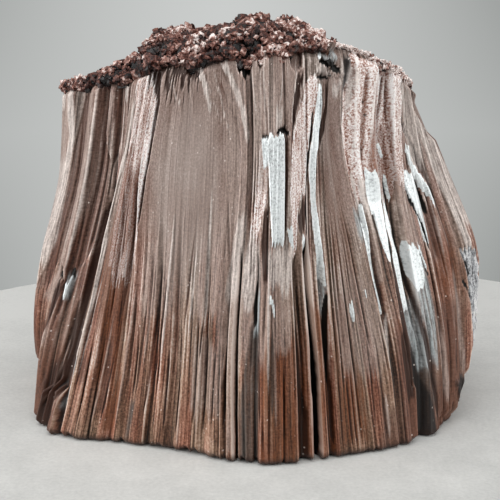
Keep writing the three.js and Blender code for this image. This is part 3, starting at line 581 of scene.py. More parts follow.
    Patch("white", 0.2, [(0.93, 10.98, 11.9), (0.94, 10.67, 11.2), (0.953, 10.64, 11.03)], 0.1),
    Patch("white", 0, [(0.88, 11.81, 11.92), (0.91, 11.75, 11.98)], 0.1),
    Patch("black", -0.6, [(0.93, 11.88, 11.97), (0.94, 11.6, 11.95), (0.955, 11, 11.8),
                          (0.967, 10.75, 11.05)], 0.1, 0.004),
    Patch("black", -0.6, [(0.923, 10.82, 11.98), (0.931, 10.62, 11.02)], 0.08, 0.004),
    Patch("coal", 0.2, [(0.89, 11.98, 12.02), (0.94, 12.04, 12.18), (0.98, 12.05, 12.18)], 0.1),
    line("white", (12.02, 11.98), 0.93, 0.97, 0.3),
]
END_FADE = 0.006
END_SOFTNESS = 0.03  # how much more of the height the ends fade over, for each millimetre of soft
FINISHES = sorted({patch.finish for patch in PATCHES})


def patch_mask(across, share, patch, frayed):
    """1 within a patch and 0 outside it, with its ends frayed."""
    shares, left, right = np.array(patch.outline, float).T
    ragged = share[:, None] + patch.ragged * frayed
    left_edge = np.interp(ragged, shares, distance_at(left))
    right_edge = np.interp(ragged, shares, distance_at(right))
    sideways = smoothstep(across - left_edge, -patch.soft, patch.soft)
    sideways *= smoothstep(right_edge - across, -patch.soft, patch.soft)
    fade = END_FADE + END_SOFTNESS * patch.soft
    ends = smoothstep(ragged, shares[0] - fade, shares[0] + fade) if shares[0] > 0 else 1.0
    return sideways * ends * (1 - smoothstep(ragged, shares[-1] - fade, shares[-1] + fade))


def masks_of(finish, masks):
    return [mask for mask, patch in zip(masks, PATCHES) if patch.finish == finish]


# Cracks between fibres, from low to reach up the height. Each span gives the least and the most.
Splits = namedtuple("Splits", "count width depth length low reach seed")
FINE_SPLITS = Splits(
    count=420, width=(0.2, 0.45), depth=(0.1, 0.5), length=(0.1, 0.5), low=-0.1, reach=0.9, seed=31
)
SPLIT_FADE_IN = 0.06
SPLIT_FADE_OUT = 0.1


def split_relief(across, share, splits):
    """Narrow cracks between fibres, each fading out at its ends."""
    random = np.random.default_rng(splits.seed)
    out = np.zeros((len(share), len(across)))
    for _ in range(splits.count):
        middle = random.uniform(distance_at(0), distance_at(COUNT))
        spans = splits.width, splits.depth, splits.length
        width, depth, length = [random.uniform(*span) for span in spans]
        low = random.uniform(splits.low, splits.reach - length)
        near = np.abs(across - middle) < width
        profile = np.clip(1 - np.abs(across[near] - middle) / width, 0, 1)
        starts = smoothstep(share, low, low + SPLIT_FADE_IN)
        stops = smoothstep(share, low + length - SPLIT_FADE_OUT, low + length)
        out[:, near] -= depth * profile * (starts * (1 - stops))[:, None]
    return out


def stands_out(out, across, reach):
    """How far each point stands proud of the wall within a reach of it."""
    reach = max(1, round(reach / (across[1] - across[0])))
    padded = np.pad(out, ((0, 0), (reach, reach)), mode="edge")
    sums = np.cumsum(np.pad(padded, ((0, 0), (1, 0))), axis=1)
    return out - (sums[:, 2 * reach + 1:] - sums[:, :-2 * reach - 1]) / (2 * reach + 1)


STANDS_REACH = 0.55
EDGES_REACH = 0.25
SATIN_PANELS = [(6, 7.9), (11.1, 11.98)]  # from which place to which
SATIN_EDGE = 0.05  # of a place
SATIN_FADE = (0.42, 0.66)  # the shares of the height between which they grow smooth
SATIN_CALM = 0.9  # how much of the relief they lose
SHINE_CALM = 0.8  # how much of the fine relief a bright face loses
SEAM = 1.5  # the ribbons fade out this near place 0, where the loop closes
FINE_WEIGHTS = (1, 0.5, 0.4, 0.7)  # of the fine ribbons' depth, tone, hue and lines, to the coarse ones'
ROUGH_SWELLS = Swells(height=0.12, width=0.4, up=60, seed=21)
FLAKE_SWELLS = Swells(height=1.5, width=1.1, up=55, seed=22)  # rounded to whole flakes
FLAKE_THICK = 0.2
FRAYING = Swells(height=1, width=0.35, up=20, seed=5)


def facet_relief(across, share):
    """The arrises and grooves, as they run low down and, above that, high up."""
    lows = ARRISES + [(COUNT, ARRISES[0][1])]
    spared = [arris for arris in lows if not HIGH_ARRISES[0][0] <= arris[0] <= HIGH_ARRISES[-1][0]]
    low, high = [
        np.interp(across, distance_at(places), depths)
        for places, depths in (np.array(lows).T, np.array(sorted(spared + HIGH_ARRISES)).T)
    ]
    return low + (high - low) * smoothstep(share, *HIGH_FROM)[:, None]


def satin_panels(across, share):
    """1 on the smooth upper part of each satin panel, and 0 elsewhere."""
    place = place_at(across)
    satin = np.zeros(len(across))
    for low, high in SATIN_PANELS:
        within = smoothstep(place, low, low + SATIN_EDGE) * smoothstep(-place, -high, SATIN_EDGE - high)
        satin = np.maximum(satin, within)
    return satin[None] * smoothstep(share, *SATIN_FADE)[:, None]


def wall_relief(across, share, masks):
    """How far the wall stands out of its smooth form, and the looks that go with its ribbons."""
    satin = satin_panels(across, share)
    at_seam = smoothstep(np.minimum(across - distance_at(0), distance_at(COUNT) - across), 0, SEAM)
    coarse, fine = [ribbon_looks(across, share, ribbons) for ribbons in (COARSE_RIBBONS, FINE_RIBBONS)]
    depth, tone, hue, lines = [
        (first + weight * second) * at_seam for first, second, weight in zip(coarse, fine, FINE_WEIGHTS)
    ]
    shine = np.max(masks_of("shine", masks), axis=0)
    depth = (depth + split_relief(across, share, FINE_SPLITS)) * at_seam * (1 - SHINE_CALM * shine)
    out = (facet_relief(across, share) + depth) * (1 - SATIN_CALM * satin)
    out += sum(patch.lift * mask for patch, mask in zip(PATCHES, masks))
    out += swells(ROUGH_SWELLS, across, share) * sum(masks_of("rough", masks))
    flakes = FLAKE_THICK * np.round(swells(FLAKE_SWELLS, across, share))
    out += flakes * sum(masks_of("flaky", masks))
    return out, {"tone": tone, "hue": hue, "lines": lines, "satin": satin}


Chips = namedtuple("Chips", "width depth seed")
CHIPS = [Chips(width=2.3, depth=0.9, seed=41), Chips(width=0.8, depth=0.7, seed=42)]
CHIP_REACH = 3.0  # how far up the wall the fibres follow their broken ends
CHIP_LIFT = 0.5  # the most that an end is lifted


def foot_chips(across):
    """How far the broken end of each fibre is lifted off the ground."""
    chipped = sum(kind.depth * grain(across / kind.width, np.zeros(1), kind.seed) for kind in CHIPS)
    return CHIP_LIFT * np.clip(chipped, 0, 1)


def fibre_points(across, share):
    """Points of one side of the wall, and how strong each finish is there."""
    frayed = swells(FRAYING, across, share)
    masks = [patch_mask(across, share, patch, frayed) for patch in PATCHES]
    out, looks = wall_relief(across, share, masks)
    rolled = smoothstep(share, ROLL_FROM, 1)[:, None]
    out = out * (1 - rolled) - ROLL * rolled
    smooth = smooth_wall(across, share)
    chips = foot_chips(across)
    out -= BEVEL * (1 + chips) * (1 - smoothstep(smooth[..., 2], 0, BEVEL_HEIGHT + chips))
    out[0] -= FOOT_INSET
    points = smooth + outward(across, share) * out[..., None]
    points[1:, :, 2] += chips * (1 - smoothstep(points[1:, :, 2], 0, CHIP_REACH))
    finishes = {name: np.max(masks_of(name, masks), axis=0) for name in FINISHES}
    finishes.update(looks)
    # stands and edges later lighten ridges and darken grooves in the colour, as painted highlights and shade
    finishes["stands"] = stands_out(out, across, STANDS_REACH)
    finishes["edges"] = stands_out(out, across, EDGES_REACH)
    return points, finishes


def mound_points(rim, inward):
    """A ring of the mound, a share of the way in from the rim to the mound's centre."""
    flat = rim[:, :2] * (1 - inward) + MOUND_CENTRE * inward
    full = smoothstep(inward, 0, MOUND_FULL)
    height = rim[:, 2] * (1 - full) + np.interp(flat[:, 0], *SKYLINE.T) * full
    return np.column_stack([flat, height])


# ---- Meshes -------------------------------------------------------------
BAKE_MAP = "OFBake"  # the map that a piece's finish is baked on


def new_object(name, points, faces, attributes=None, corners=None, smooth=True):
    """A mesh object, with the place of each face's corners on the bake map."""
    mesh = bpy.data.meshes.new(name)
    mesh.from_pydata(((points - ORIGIN) * MM).tolist(), [], faces)
    if corners is not None:
        mesh.uv_layers.new(name=BAKE_MAP).data.foreach_set("uv", corners.ravel().astype(np.float32))
    for key, values in (attributes or {}).items():
        kind, field = ("FLOAT_VECTOR", "vector") if values.ndim == 2 else ("FLOAT", "value")
        layer = mesh.attributes.new(key, kind, "POINT")
        layer.data.foreach_set(field, values.ravel().astype(np.float32))
    mesh.polygons.foreach_set("use_smooth", np.full(len(mesh.polygons), smooth))
    mesh.update()
    piece = bpy.data.objects.new(name, mesh)
    bpy.context.scene.collection.objects.link(piece)
    return piece


def strips(loops):
    """Quads between each ring of points and the next."""
    low, high = loops[:-1], loops[1:]
    return np.stack([low, np.roll(low, -1, 1), np.roll(high, -1, 1), high], -1).reshape(-1, 4).tolist()


def fan(ring, centre, facing_down=False):
    """Triangles from a ring of points to its centre."""
    onward = np.roll(ring, -1)
    firsts, seconds = (onward, ring) if facing_down else (ring, onward)
    return [(first, second, centre) for first, second in zip(firsts, seconds)]


MOUND_SINK = 2.6  # the fibres' hidden top lies this far under the mound's skyline
MOUND_RINGS = [0.06, 0.2, 0.5]
# On the map, the wall takes the height up to MAP_WALL and the hidden ends lie above it: the rings,
# then a fan of triangles for the top, then one for the foot.
MAP_WALL = 0.86
MAP_RING = 0.02
MAP_FAN = 0.03
MAP_FOOT = 0.04  # how far the foot's fan starts above the top's
MAP_CLOSING = 0.99  # the closing plane lies right of this
MAP_GAP = 0.005


def side_corners(share, columns, rings):
    """The map of one side, for the corners of its quads, its top and its foot."""
    wall = MAP_WALL * (np.linspace(0, 1, len(share)) + share) / 2
    levels = np.append(wall, MAP_WALL + MAP_RING * np.arange(1, rings + 1))
    ends = np.linspace(0, MAP_CLOSING - MAP_GAP, columns)
    left, right = np.append(ends[:-1], MAP_CLOSING), np.append(ends[1:], 1)

    def corners(*places):
        pairs = [np.stack(np.broadcast_arrays(u, np.reshape(v, (-1, 1))), -1) for u, v in places]
        return np.stack(pairs, -2).reshape(-1, 2)

    low, high = levels[:-1], levels[1:]
    middle = (left + right) / 2
    top, foot = levels[-1], levels[-1] + MAP_FOOT
    return np.concatenate([
        corners((left, low), (right, low), (right, high), (left, high)),
        corners((left, top), (right, top), (middle, top + MAP_FAN)),
        corners((right, foot), (left, foot), (middle, foot + MAP_FAN)),
    ])


def make_side(side):
    """The fibres of one side, closed by a plane across the stone's middle."""
    across, share = column_distances(side), row_shares()
    points, finishes = fibre_points(across, share)
    rows, columns = points.shape[:2]
    rings = [mound_points(points[-1], inward) - [0, 0, MOUND_SINK] for inward in MOUND_RINGS]
    foot = np.array([*side.cap_centre, 0.0])
    top = foot + [0, 0, rings[-1][:, 2].mean()]
    everything = np.concatenate([points.reshape(-1, 3), *rings, [top, foot]])
    top_centre, foot_centre = len(everything) - 2, len(everything) - 1
    loops = np.arange((rows + len(rings)) * columns).reshape(-1, columns)
    faces = strips(loops) + fan(loops[-1], top_centre) + fan(loops[0], foot_centre, facing_down=True)
    spare = len(everything) - rows * columns
    attributes = {key: np.append(values, np.zeros(spare)) for key, values in finishes.items()}
    fibre = np.dstack(np.broadcast_arrays(across, points[..., 2], share[:, None]))
    attributes["fibre"] = np.concatenate([fibre.reshape(-1, 3), np.zeros((spare, 3))])
    return new_object(side.name, everything, faces, attributes, side_corners(share, columns, len(rings)))


# ---- The crust ----------------------------------------------------------
# Lumps swell the mound, and grains cover both. A span of x says where on the mound they lie, and
# inward how far up from the rim. A lump's middle sinks into the bed by sink radii. Grains hang by up
# to drop below their places, and detail is how finely each ball is divided.
Lumps = namedtuple("Lumps", "count radius x inward sink")
LUMPS = [
    Lumps(count=44, radius=(1.6, 2.9), x=(-25, 7), inward=(0.13, 0.5), sink=0.25),
    Lumps(count=64, radius=(0.8, 1.6), x=(-31, 12), inward=(0.03, 0.45), sink=0),
    Lumps(count=40, radius=(1.0, 2.0), x=(-28, 24), inward=(0.15, 0.95), sink=0.4),
]
Grains = namedtuple("Grains", "count radius x inward tone drop detail on_lumps", defaults=(2, False))
FRONT_GRAINS = [
    Grains(count=420, radius=(0.3, 0.85), x=(-32, 12), inward=(-0.014, 0.05), tone=(-0.1, 0.8), drop=2.6),
    Grains(count=380, radius=(0.3, 0.9), x=(-31.5, 12), inward=(0.02, 0.55), tone=(-0.1, 0.9), drop=0),
    Grains(
        count=640, radius=(0.25, 0.8), x=(-31.5, 12), inward=(0, 1), tone=(-0.1, 1.1), drop=0, on_lumps=True
    ),
    Grains(
        count=1600, radius=(0.14, 0.34), x=(9, 29), inward=(-0.02, 0.08), tone=(0.4, 1.3), drop=1.8, detail=1
    ),
    Grains(count=2300, radius=(0.15, 0.4), x=(8, 29), inward=(0.03, 0.6), tone=(0.4, 1.3), drop=0, detail=1),
    Grains(count=330, radius=(0.5, 1.0), x=(-24, 20), inward=(0.5, 1), tone=(0, 0.9), drop=0, detail=1),
]
BACK_GRAINS = [
    Grains(count=600, radius=(0.5, 0.9), x=(-34, 31), inward=(-0.01, 0.1), tone=(0.0, 1.0), drop=1.5),
    Grains(count=1100, radius=(0.6, 1.1), x=(-32, 31), inward=(0.05, 1), tone=(0.0, 1.0), drop=0),
]
CRUST_SEED = 4
CRUST_THICK = 3.2
THICK_AT = 0.5  # how far in from the rim the crust is that thick, thicker beyond and thinner before
CRUST_BED = 1.5  # how far the ground between the lumps lies below the skyline
BED_FULL = 0.12  # and how far in from the rim it lies that deep
CRUST_RINGS = np.array([0.035, 0.06, 0.1, 0.16, 0.3, 0.45, 0.6, 0.8])
RIM_STEP = 0.5
THINNING = 1.1  # places are fewer towards the mound's centre, and would end this far in
LUMP_DETAIL = 3
LUMP_RAGGED = 0.06
GRAIN_RAGGED = 0.5
BALL_STRETCH = (0.7, 1.15)
GRAIN_RISE = (-0.7, 0.3)  # how far grains are raised, in radii
DROP_SPACING = 3.5  # between the tongues of grains that run down over the rim
DROP_SHARE = 0.4  # how broad those tongues are
DROP_SEED = 51
FRONT_OF_LUMP = -0.7  # grains that face further forwards than this on a lump
FRONT_SAG = 0.2  # sit lower by this many radii, for each millimetre of its radius
LIT_FROM = 0.7  # grains on a lump that face up less than this are shaded
SHADE_DEPTH = 1.8  # grains this far under the mound's skyline are darkened by SHADE
SHADE = 0.6
# painted shade: the bed and the lumps under the grains are as dark as the gaps between grains
SHADED_GROUND_TONE = -0.3
PAINTED_TOP_LIGHT = 0.18  # painted light: how much lighter a grain's top is than its middle, and its underside darker
PALE_RIGHT = 0.45  # how much lighter the grains are on the right
PALE_RIGHT_SPAN = (-8, 12)  # the x between which they grow lighter
PALE_LEFT = 0.4  # how much lighter they are at the left end
PALE_LEFT_SPAN = (-28, -34)


def rim_points(start, end):
    across = np.arange(*distance_at([start, end]), RIM_STEP)
    return smooth_wall(across, np.ones(1))[0]


def bed_depth(inward):
    """How far the ground between the lumps lies below the skyline there."""
    return CRUST_BED * smoothstep(inward, 0, BED_FULL)


def thickness(inward):
    """How far the crust's under side lies below the skyline there."""
    return CRUST_THICK * (1 - THICK_AT + inward)


def crust_sheet(rim):
    """The bed of the crust: a closed lens of points and faces."""
    upper = [mound_points(rim, inward) - [0, 0, bed_depth(inward)] for inward in CRUST_RINGS]
    lower = [mound_points(rim, inward) - [0, 0, thickness(inward)] for inward in CRUST_RINGS]
    rings = lower[::-1] + upper
    points = np.concatenate(rings + [[lower[-1].mean(0)], [upper[-1].mean(0)]])
    under_centre, upper_centre = len(points) - 2, len(points) - 1
    loops = np.arange(len(rings) * len(rim)).reshape(-1, len(rim))
    faces = strips(loops) + fan(loops[0], under_centre, facing_down=True) + fan(loops[-1], upper_centre)
    return points, faces


def ball(detail):
    """Points and faces of a round ball of radius 1."""
    mesh = bmesh.new()
    bmesh.ops.create_icosphere(mesh, subdivisions=detail, radius=1)
    points = np.array([vert.co for vert in mesh.verts])
    faces = np.array([[vert.index for vert in face.verts] for face in mesh.faces])
    mesh.free()
    return points, faces


def scattered(kind, rim, random):
    """Random points on the mound within a kind's spans, and how deep the bed lies there."""
    places, beds = [], []
    while len(places) < kind.count:
        inward = random.uniform(*kind.inward)
        if random.random() > 1 - max(inward, 0) / THINNING:
            continue
        at = mound_points(rim[random.integers(len(rim))][None], inward)[0]
        if kind.x[0] < at[0] < kind.x[1]:
            places.append(at)
            beds.append(bed_depth(inward))
    return np.array(places), np.array(beds)


def make_lumps(rim, random):
    """Centres and radii of the lumps."""
    centres, radii = [], []
    for kind in LUMPS:
        radius = random.uniform(*kind.radius, kind.count)
        places, beds = scattered(kind, rim, random)
        places[:, 2] -= beds + kind.sink * radius
        centres.append(places)
        radii.append(radius)
    return np.concatenate(centres), np.concatenate(radii)


def over_lumps(kind, lumps, random):
    """Random points on the upper and front sides of the lumps, and how far each is shaded."""
    centres, radii = lumps
    within = (centres[:, 0] > kind.x[0]) & (centres[:, 0] < kind.x[1])
    chances = radii**2 * within
    picks = random.choice(len(radii), kind.count, p=chances / chances.sum())
    ways = random.normal(size=(kind.count, 3))
    ways /= np.linalg.norm(ways, axis=1, keepdims=True)
    ways[:, 1] = -np.abs(ways[:, 1])
    ways[:, 2] = np.abs(ways[:, 2]) - FRONT_SAG * radii[picks] * (ways[:, 1] < FRONT_OF_LUMP)
    shade = SHADE * np.clip((LIT_FROM - ways[:, 2]) / LIT_FROM, 0, 1)
    return centres[picks] + ways * radii[picks, None], shade


def raised(places, bed, lumps):
    """Points of the mound lifted onto the lumps that cover them, or dropped to the bed between."""
    centres, radii = lumps
    level = np.linalg.norm(places[:, None, :2] - centres[None, :, :2], axis=2)
    tops = centres[:, 2] + np.sqrt(np.clip(radii**2 - level**2, 0, None))
    tops = np.where(level < radii, tops, -np.inf).max(axis=1)
    lifted = places.copy()
    lifted[:, 2] = np.maximum(tops, places[:, 2] - bed)
    return lifted


def shapes(form, centres, radii, ragged, random):
    """One lumpy ball for each centre, as points, faces and how far up its ball each point is."""
    points, faces = form
    radial = 1 + random.uniform(-ragged, ragged, (len(centres), len(points), 1))
    stretch = random.uniform(*BALL_STRETCH, (len(centres), 1, 3))
    made = centres[:, None] + points[None] * radial * stretch * radii[:, None, None]
    starts = np.arange(len(centres))[:, None, None] * len(points)
    ups = np.tile(points[:, 2], len(centres))
    return made.reshape(-1, 3), (faces[None] + starts).reshape(-1, 3).tolist(), ups


CELL_FILL = 0.9  # how much of its cell of the map a shape takes, each way
CELL_EDGE = 0.05
# A batch is one kind of shapes, joined: form is one of them as points and faces, count how many there
# are, and room how much of the map they take, where a grain takes 1.
Batch = namedtuple("Batch", "points faces tone form count room")
BED_ROOM = 300
LUMP_ROOM = 6


def two_sided(points, faces):
    """A flat map of a rounded shape for its faces' corners: its upper side, and beside it its under side."""
    spread = (points[:, :2] - points[:, :2].min(axis=0)) / np.ptp(points[:, :2], axis=0)
    spread = spread * CELL_FILL + CELL_EDGE
    corners = []
    for face in faces:
        first, second, third = points[list(face[:3])]
        under = np.cross(second - first, third - first)[2] < 0
        corners += [((spread[i, 0] + under) / 2, spread[i, 1]) for i in face]
    return np.array(corners)


def in_cells(corners, count, low, high):
    """Copies of a flat map, each in its own cell of a strip of the whole map."""
    columns = math.ceil(math.sqrt(count / (high - low)))
    cell = np.array([1 / columns, (high - low) / math.ceil(count / columns)])
    numbers = np.arange(count)
    starts = np.column_stack([numbers % columns, numbers // columns]) * cell + [0, low]
    return (starts[:, None] + corners[None] * cell).reshape(-1, 2)


def bed_batch(rim):
    points, faces = crust_sheet(rim)
    # painted shade on the bed between the lumps
    tone = np.full(len(points), SHADED_GROUND_TONE)
    return Batch(points, faces, tone, form=(points, faces), count=1, room=BED_ROOM)


def lump_batch(lumps, random):
    form = ball(LUMP_DETAIL)
    points, faces, ups = shapes(form, *lumps, LUMP_RAGGED, random)
    count = len(lumps[1])
    # painted shade on the lumps, with painted light on their tops
    return Batch(points, faces, SHADED_GROUND_TONE + PAINTED_TOP_LIGHT * ups, form, count, room=LUMP_ROOM * count)


def grain_batch(kind, rim, lumps, random):
    """Grains of one kind, on the lumps alone or over bed and lumps alike."""
    form = ball(kind.detail)
    if kind.on_lumps:
        places, shade = over_lumps(kind, lumps, random)
    else:
        spots, beds = scattered(kind, rim, random)
        places = raised(spots, beds, lumps)
        shade = SHADE * np.clip((spots[:, 2] - places[:, 2]) / SHADE_DEPTH, 0, 1)
    tones = random.uniform(*kind.tone, kind.count) - shade
    tones += PALE_RIGHT * smoothstep(places[:, 0], *PALE_RIGHT_SPAN)
    tones += PALE_LEFT * smoothstep(places[:, 0], *PALE_LEFT_SPAN)
    radii = random.uniform(*kind.radius, kind.count)
    tongues = np.clip(grain(places[:, 0] / DROP_SPACING, np.zeros(1), DROP_SEED) + DROP_SHARE, 0, 1)
    places[:, 2] -= random.uniform(0, kind.drop, kind.count) * tongues
    places[:, 2] += random.uniform(*GRAIN_RISE, kind.count) * radii
    points, faces, ups = shapes(form, places, radii, GRAIN_RAGGED, random)
    # painted light on the grains' tops and painted shade on their undersides
    tone = tones.repeat(len(form[0])) + PAINTED_TOP_LIGHT * ups
    return Batch(points, faces, tone, form, kind.count, room=kind.count)


def make_crust(name, batches):
    """One part of the crust, joined from its batches, each with its own strip of the map."""
    faces, corners = [], []
    start, low = 0, 0.0
    for batch in batches:
        faces += [tuple(i + start for i in face) for face in batch.faces]
        high = low + batch.room / sum(other.room for other in batches)
        corners.append(in_cells(two_sided(*batch.form), batch.count, low, high))
        start, low = start + len(batch.points), high
    points = np.concatenate([batch.points for batch in batches])
    tone = np.concatenate([batch.tone for batch in batches])
    return new_object(name, points, faces, {"tone": tone}, np.concatenate(corners), smooth=False)


# ---- Shader arithmetic --------------------------------------------------
class Value:
    """One output of a material's nodes. Arithmetic on it adds Math nodes."""

    def __init__(self, tree, socket):
        self.tree = tree
        self.socket = socket

    def math(self, operation, *operands, clamp=False):
        settings = {"operation": operation, "use_clamp": clamp}
        return self.tree.add("ShaderNodeMath", settings, dict(enumerate(operands)))

    def __add__(self, other):
        return self.math("ADD", self, other)

    __radd__ = __add__

    def __sub__(self, other):
        return self.math("SUBTRACT", self, other)

    def __rsub__(self, other):
        return self.math("SUBTRACT", other, self)

    def __mul__(self, other):
        return self.math("MULTIPLY", self, other)

    __rmul__ = __mul__

    def __pow__(self, other):
        return self.math("POWER", self, other)

    def __abs__(self):
        return self.math("ABSOLUTE", self)

    def clamped(self):
        return self.math("ADD", self, 0.0, clamp=True)


class Tree:
    """A material's or the world's nodes."""

    def __init__(self, owner):
        owner.use_nodes = True
        self.nodes = owner.node_tree.nodes
        self.links = owner.node_tree.links
        self.nodes.clear()

    def add(self, kind, settings=None, inputs=None, output=0):
        """Adds a node, sets it, feeds its sockets with values or links, and gives back one output."""
        node = self.nodes.new(kind)
        for key, value in (settings or {}).items():
            if key == "stops":
                self.set_stops(node.color_ramp, value)
            else:
                setattr(node, key, value)
        for key, value in (inputs or {}).items():
            if isinstance(value, Value):
                self.links.new(value.socket, node.inputs[key])
            else:
                node.inputs[key].default_value = value
        return Value(self, node.outputs[output]) if node.outputs else None

    @staticmethod
    def set_stops(ramp, stops):
        while len(ramp.elements) < len(stops):
            ramp.elements.new(1.0)
        for element, (position, colour) in zip(ramp.elements, stops):
            element.position = position
            element.color = (*colour, 1)

    def attribute(self, name, output="Fac"):
        return self.add("ShaderNodeAttribute", {"attribute_name": name}, output=output)

    def parts(self, vector):
        """The three numbers of a vector."""
        return [self.add("ShaderNodeSeparateXYZ", {}, {0: vector}, output=k) for k in range(3)]

    def stretched(self, vector, stretch):
        return self.add("ShaderNodeVectorMath", {"operation": "MULTIPLY"}, {0: vector, 1: stretch})

    def noise(self, vector, scale, detail=3.0, roughness=0.55):
        """Smooth noise about 0."""
        inputs = {"Vector": vector, "Scale": scale, "Detail": detail, "Roughness": roughness}
        return self.add("ShaderNodeTexNoise", {}, inputs) - 0.5

    def veins(self, vector, width):
        """1 along thin lines and 0 between them."""
        return self.between(abs(self.noise(vector, 1.0, detail=2)), width, 0.0)

    def dots(self, vector):
        """How far each place is from the nearest of many scattered dots."""
        return self.add("ShaderNodeTexVoronoi", {}, {"Vector": vector, "Scale": 1.0})

    def between(self, value, low, high):
        """0 at low and 1 at high, and level beyond them."""
        inputs = {"Value": value, "From Min": low, "From Max": high}
        return self.add("ShaderNodeMapRange", {"clamp": True}, inputs)

    def ramp(self, value, stops):
        """The colour at a value from 0 to 1 along the stops."""
        return self.add("ShaderNodeValToRGB", {"stops": stops}, {"Fac": value})

    def mix(self, share, first, second):
        """A colour between two others."""
        first = first if isinstance(first, Value) else (*first, 1)
        second = second if isinstance(second, Value) else (*second, 1)
        return self.add("ShaderNodeMix", {"data_type": "RGBA"}, {0: share, 6: first, 7: second}, output=2)

    def bump(self, height, strength, distance):
        inputs = {"Strength": strength, "Distance": distance, "Height": height}
        return self.add("ShaderNodeBump", {}, inputs)

    def surface(self, inputs):
        """Ends a material with the shader that these inputs feed."""
        shader = self.add("ShaderNodeBsdfPrincipled", {}, inputs)
        self.add("ShaderNodeOutputMaterial", {}, {"Surface": shader})


# ---- Finishes -----------------------------------------------------------
# Ramps of colour from the darkest tone to the lightest.
LOW_REDS = [
    (0, (0.018, 0.005, 0.002)), (0.3, (0.125, 0.037, 0.018)), (0.6, (0.320, 0.137, 0.086)),
    (0.85, (0.500, 0.300, 0.225)), (1, (0.680, 0.530, 0.460)),
]
LOW_OLIVES = [
    (0, (0.018, 0.009, 0.004)), (0.3, (0.118, 0.064, 0.037)), (0.6, (0.315, 0.192, 0.130)),
    (0.85, (0.500, 0.360, 0.275)), (1, (0.680, 0.570, 0.490)),
]
# The mauve-grey of the upper fibres is partly their own colour and partly painted sheen.
HIGH_MAUVES_AND_SHEEN = [
    (0, (0.028, 0.010, 0.006)), (0.3, (0.140, 0.075, 0.056)), (0.6, (0.295, 0.192, 0.160)),
    (0.85, (0.540, 0.410, 0.360)), (1, (0.760, 0.660, 0.610)),
]
HIGH_GREYS_AND_SHEEN = [
    (0, (0.028, 0.018, 0.013)), (0.3, (0.130, 0.095, 0.077)), (0.6, (0.285, 0.225, 0.195)),
    (0.85, (0.530, 0.450, 0.405)), (1, (0.760, 0.690, 0.640)),
]
ROUGH_PINKS = [
    (0, (0.080, 0.022, 0.012)), (0.25, (0.300, 0.135, 0.092)), (0.5, (0.560, 0.400, 0.350)),
    (0.75, (0.840, 0.750, 0.720)), (1, (0.960, 0.930, 0.910)),
]
# silvery grey of the split faces, its near-white end partly painted reflection
SILVERS_AND_REFLECTION = [
    (0, (0.070, 0.068, 0.070)), (0.3, (0.460, 0.485, 0.490)), (0.6, (0.750, 0.790, 0.790)),
    (1, (0.900, 0.930, 0.930)),
]
FLAKES = [
    (0, (0.010, 0.009, 0.009)), (0.35, (0.140, 0.140, 0.145)), (0.55, (0.400, 0.410, 0.425)),
    (1, (0.900, 0.880, 0.860)),
]
# The crust's ramp runs from the painted shade of its gaps, through its reds, to painted near-white glints.
CRUST_REDS_SHADE_AND_GLINTS = [
    (0, (0.003, 0.002, 0.002)), (0.3, (0.055, 0.016, 0.011)), (0.5, (0.180, 0.070, 0.050)),
    (0.7, (0.400, 0.235, 0.195)), (0.9, (0.860, 0.760, 0.720)),
]
# a deep brown that the deep grooves and hollows take, and that is also painted as shade at the foot
DEEP_BROWN = (0.030, 0.010, 0.005)
# painted shade: the black of cracks, hollows, grooves and the undercuts of ledges
SHADE_BLACK = (0.004, 0.003, 0.002)
DUST = (0.800, 0.700, 0.640)
# Each plain finish: its colour, how much of it shows, and how streaky it is.
Tint = namedtuple("Tint", "finish colour cover streaky")
TINTS = [
    # painted sheen, pale over the upper left panel
    Tint("haze", (0.340, 0.280, 0.250), 0.55, 0.2),
    Tint("rust", (0.150, 0.044, 0.013), 0.60, 1.4),
    Tint("dark", (0.110, 0.050, 0.034), 0.65, 1.0),
    # pale is partly the fibres' own colour and partly painted highlight on lit flutes and edges
    Tint("pale", (0.350, 0.268, 0.232), 0.60, 1.2),
    Tint("slate", (0.065, 0.054, 0.048), 0.70, 1.8),
    Tint("steel", (0.350, 0.380, 0.385), 0.80, 1.8),
    Tint("coal", (0.018, 0.014, 0.013), 1.00, 0.8),
    Tint("deep", DEEP_BROWN, 0.90, 0.6),
    # white is partly the fibres' own colour and partly painted highlight on lit flutes, arrises and edges
    Tint("white", (0.570, 0.500, 0.460), 0.80, 1.2),
]
TINT_CHANGES = (-0.65, 0.6)  # how much darker and lighter than its colour a streaky tint's fibres are
HIGH_COLOURS = (0.18, 0.75)  # the shares of the height between which red gives way to mauve, partly the stone's colour and partly painted sheen
SHADED_FOOT = (1.7, 0.7)  # painted shade: the heights between which the broken ends, which turn under, grow deep brown
GROOVE_SHADE = (-0.16, -0.6)  # painted shade: how far under its neighbours a groove starts to blacken, and is black
DUST_SIZES = (0.12, 0.06)
STONE_BUMP = 0.0002  # metres
CRUST_BUMP = 0.0003
# The noises and the relief that every finish of the fibres is mixed from. The relief, stands and edges, also
# lightens ridges and darkens grooves as painted highlights and shade.
Layers = namedtuple("Layers", "streaks threads hairs speckle blotches crackle stands edges lines")


def fibre_layers(tree, fibre):
    """Each noise has so many swells to a millimetre, across the fibres and up them."""

    def noise(across, up, detail, roughness=0.55):
        return tree.noise(tree.stretched(fibre, (across, up, 0)), 1.0, detail, roughness)

    return Layers(
        streaks=noise(0.9, 0.02, detail=4),
        threads=noise(2.2, 0.03, detail=3, roughness=0.6),
        hairs=noise(3.6, 0.4, detail=4, roughness=0.7),
        speckle=noise(2.6, 2.2, detail=4, roughness=0.7),
        blotches=noise(0.25, 0.09, detail=4),
        crackle=noise(5, 3, detail=3, roughness=0.7),
        stands=tree.attribute("stands"),
        edges=tree.attribute("edges"),
        lines=tree.attribute("lines"),
    )


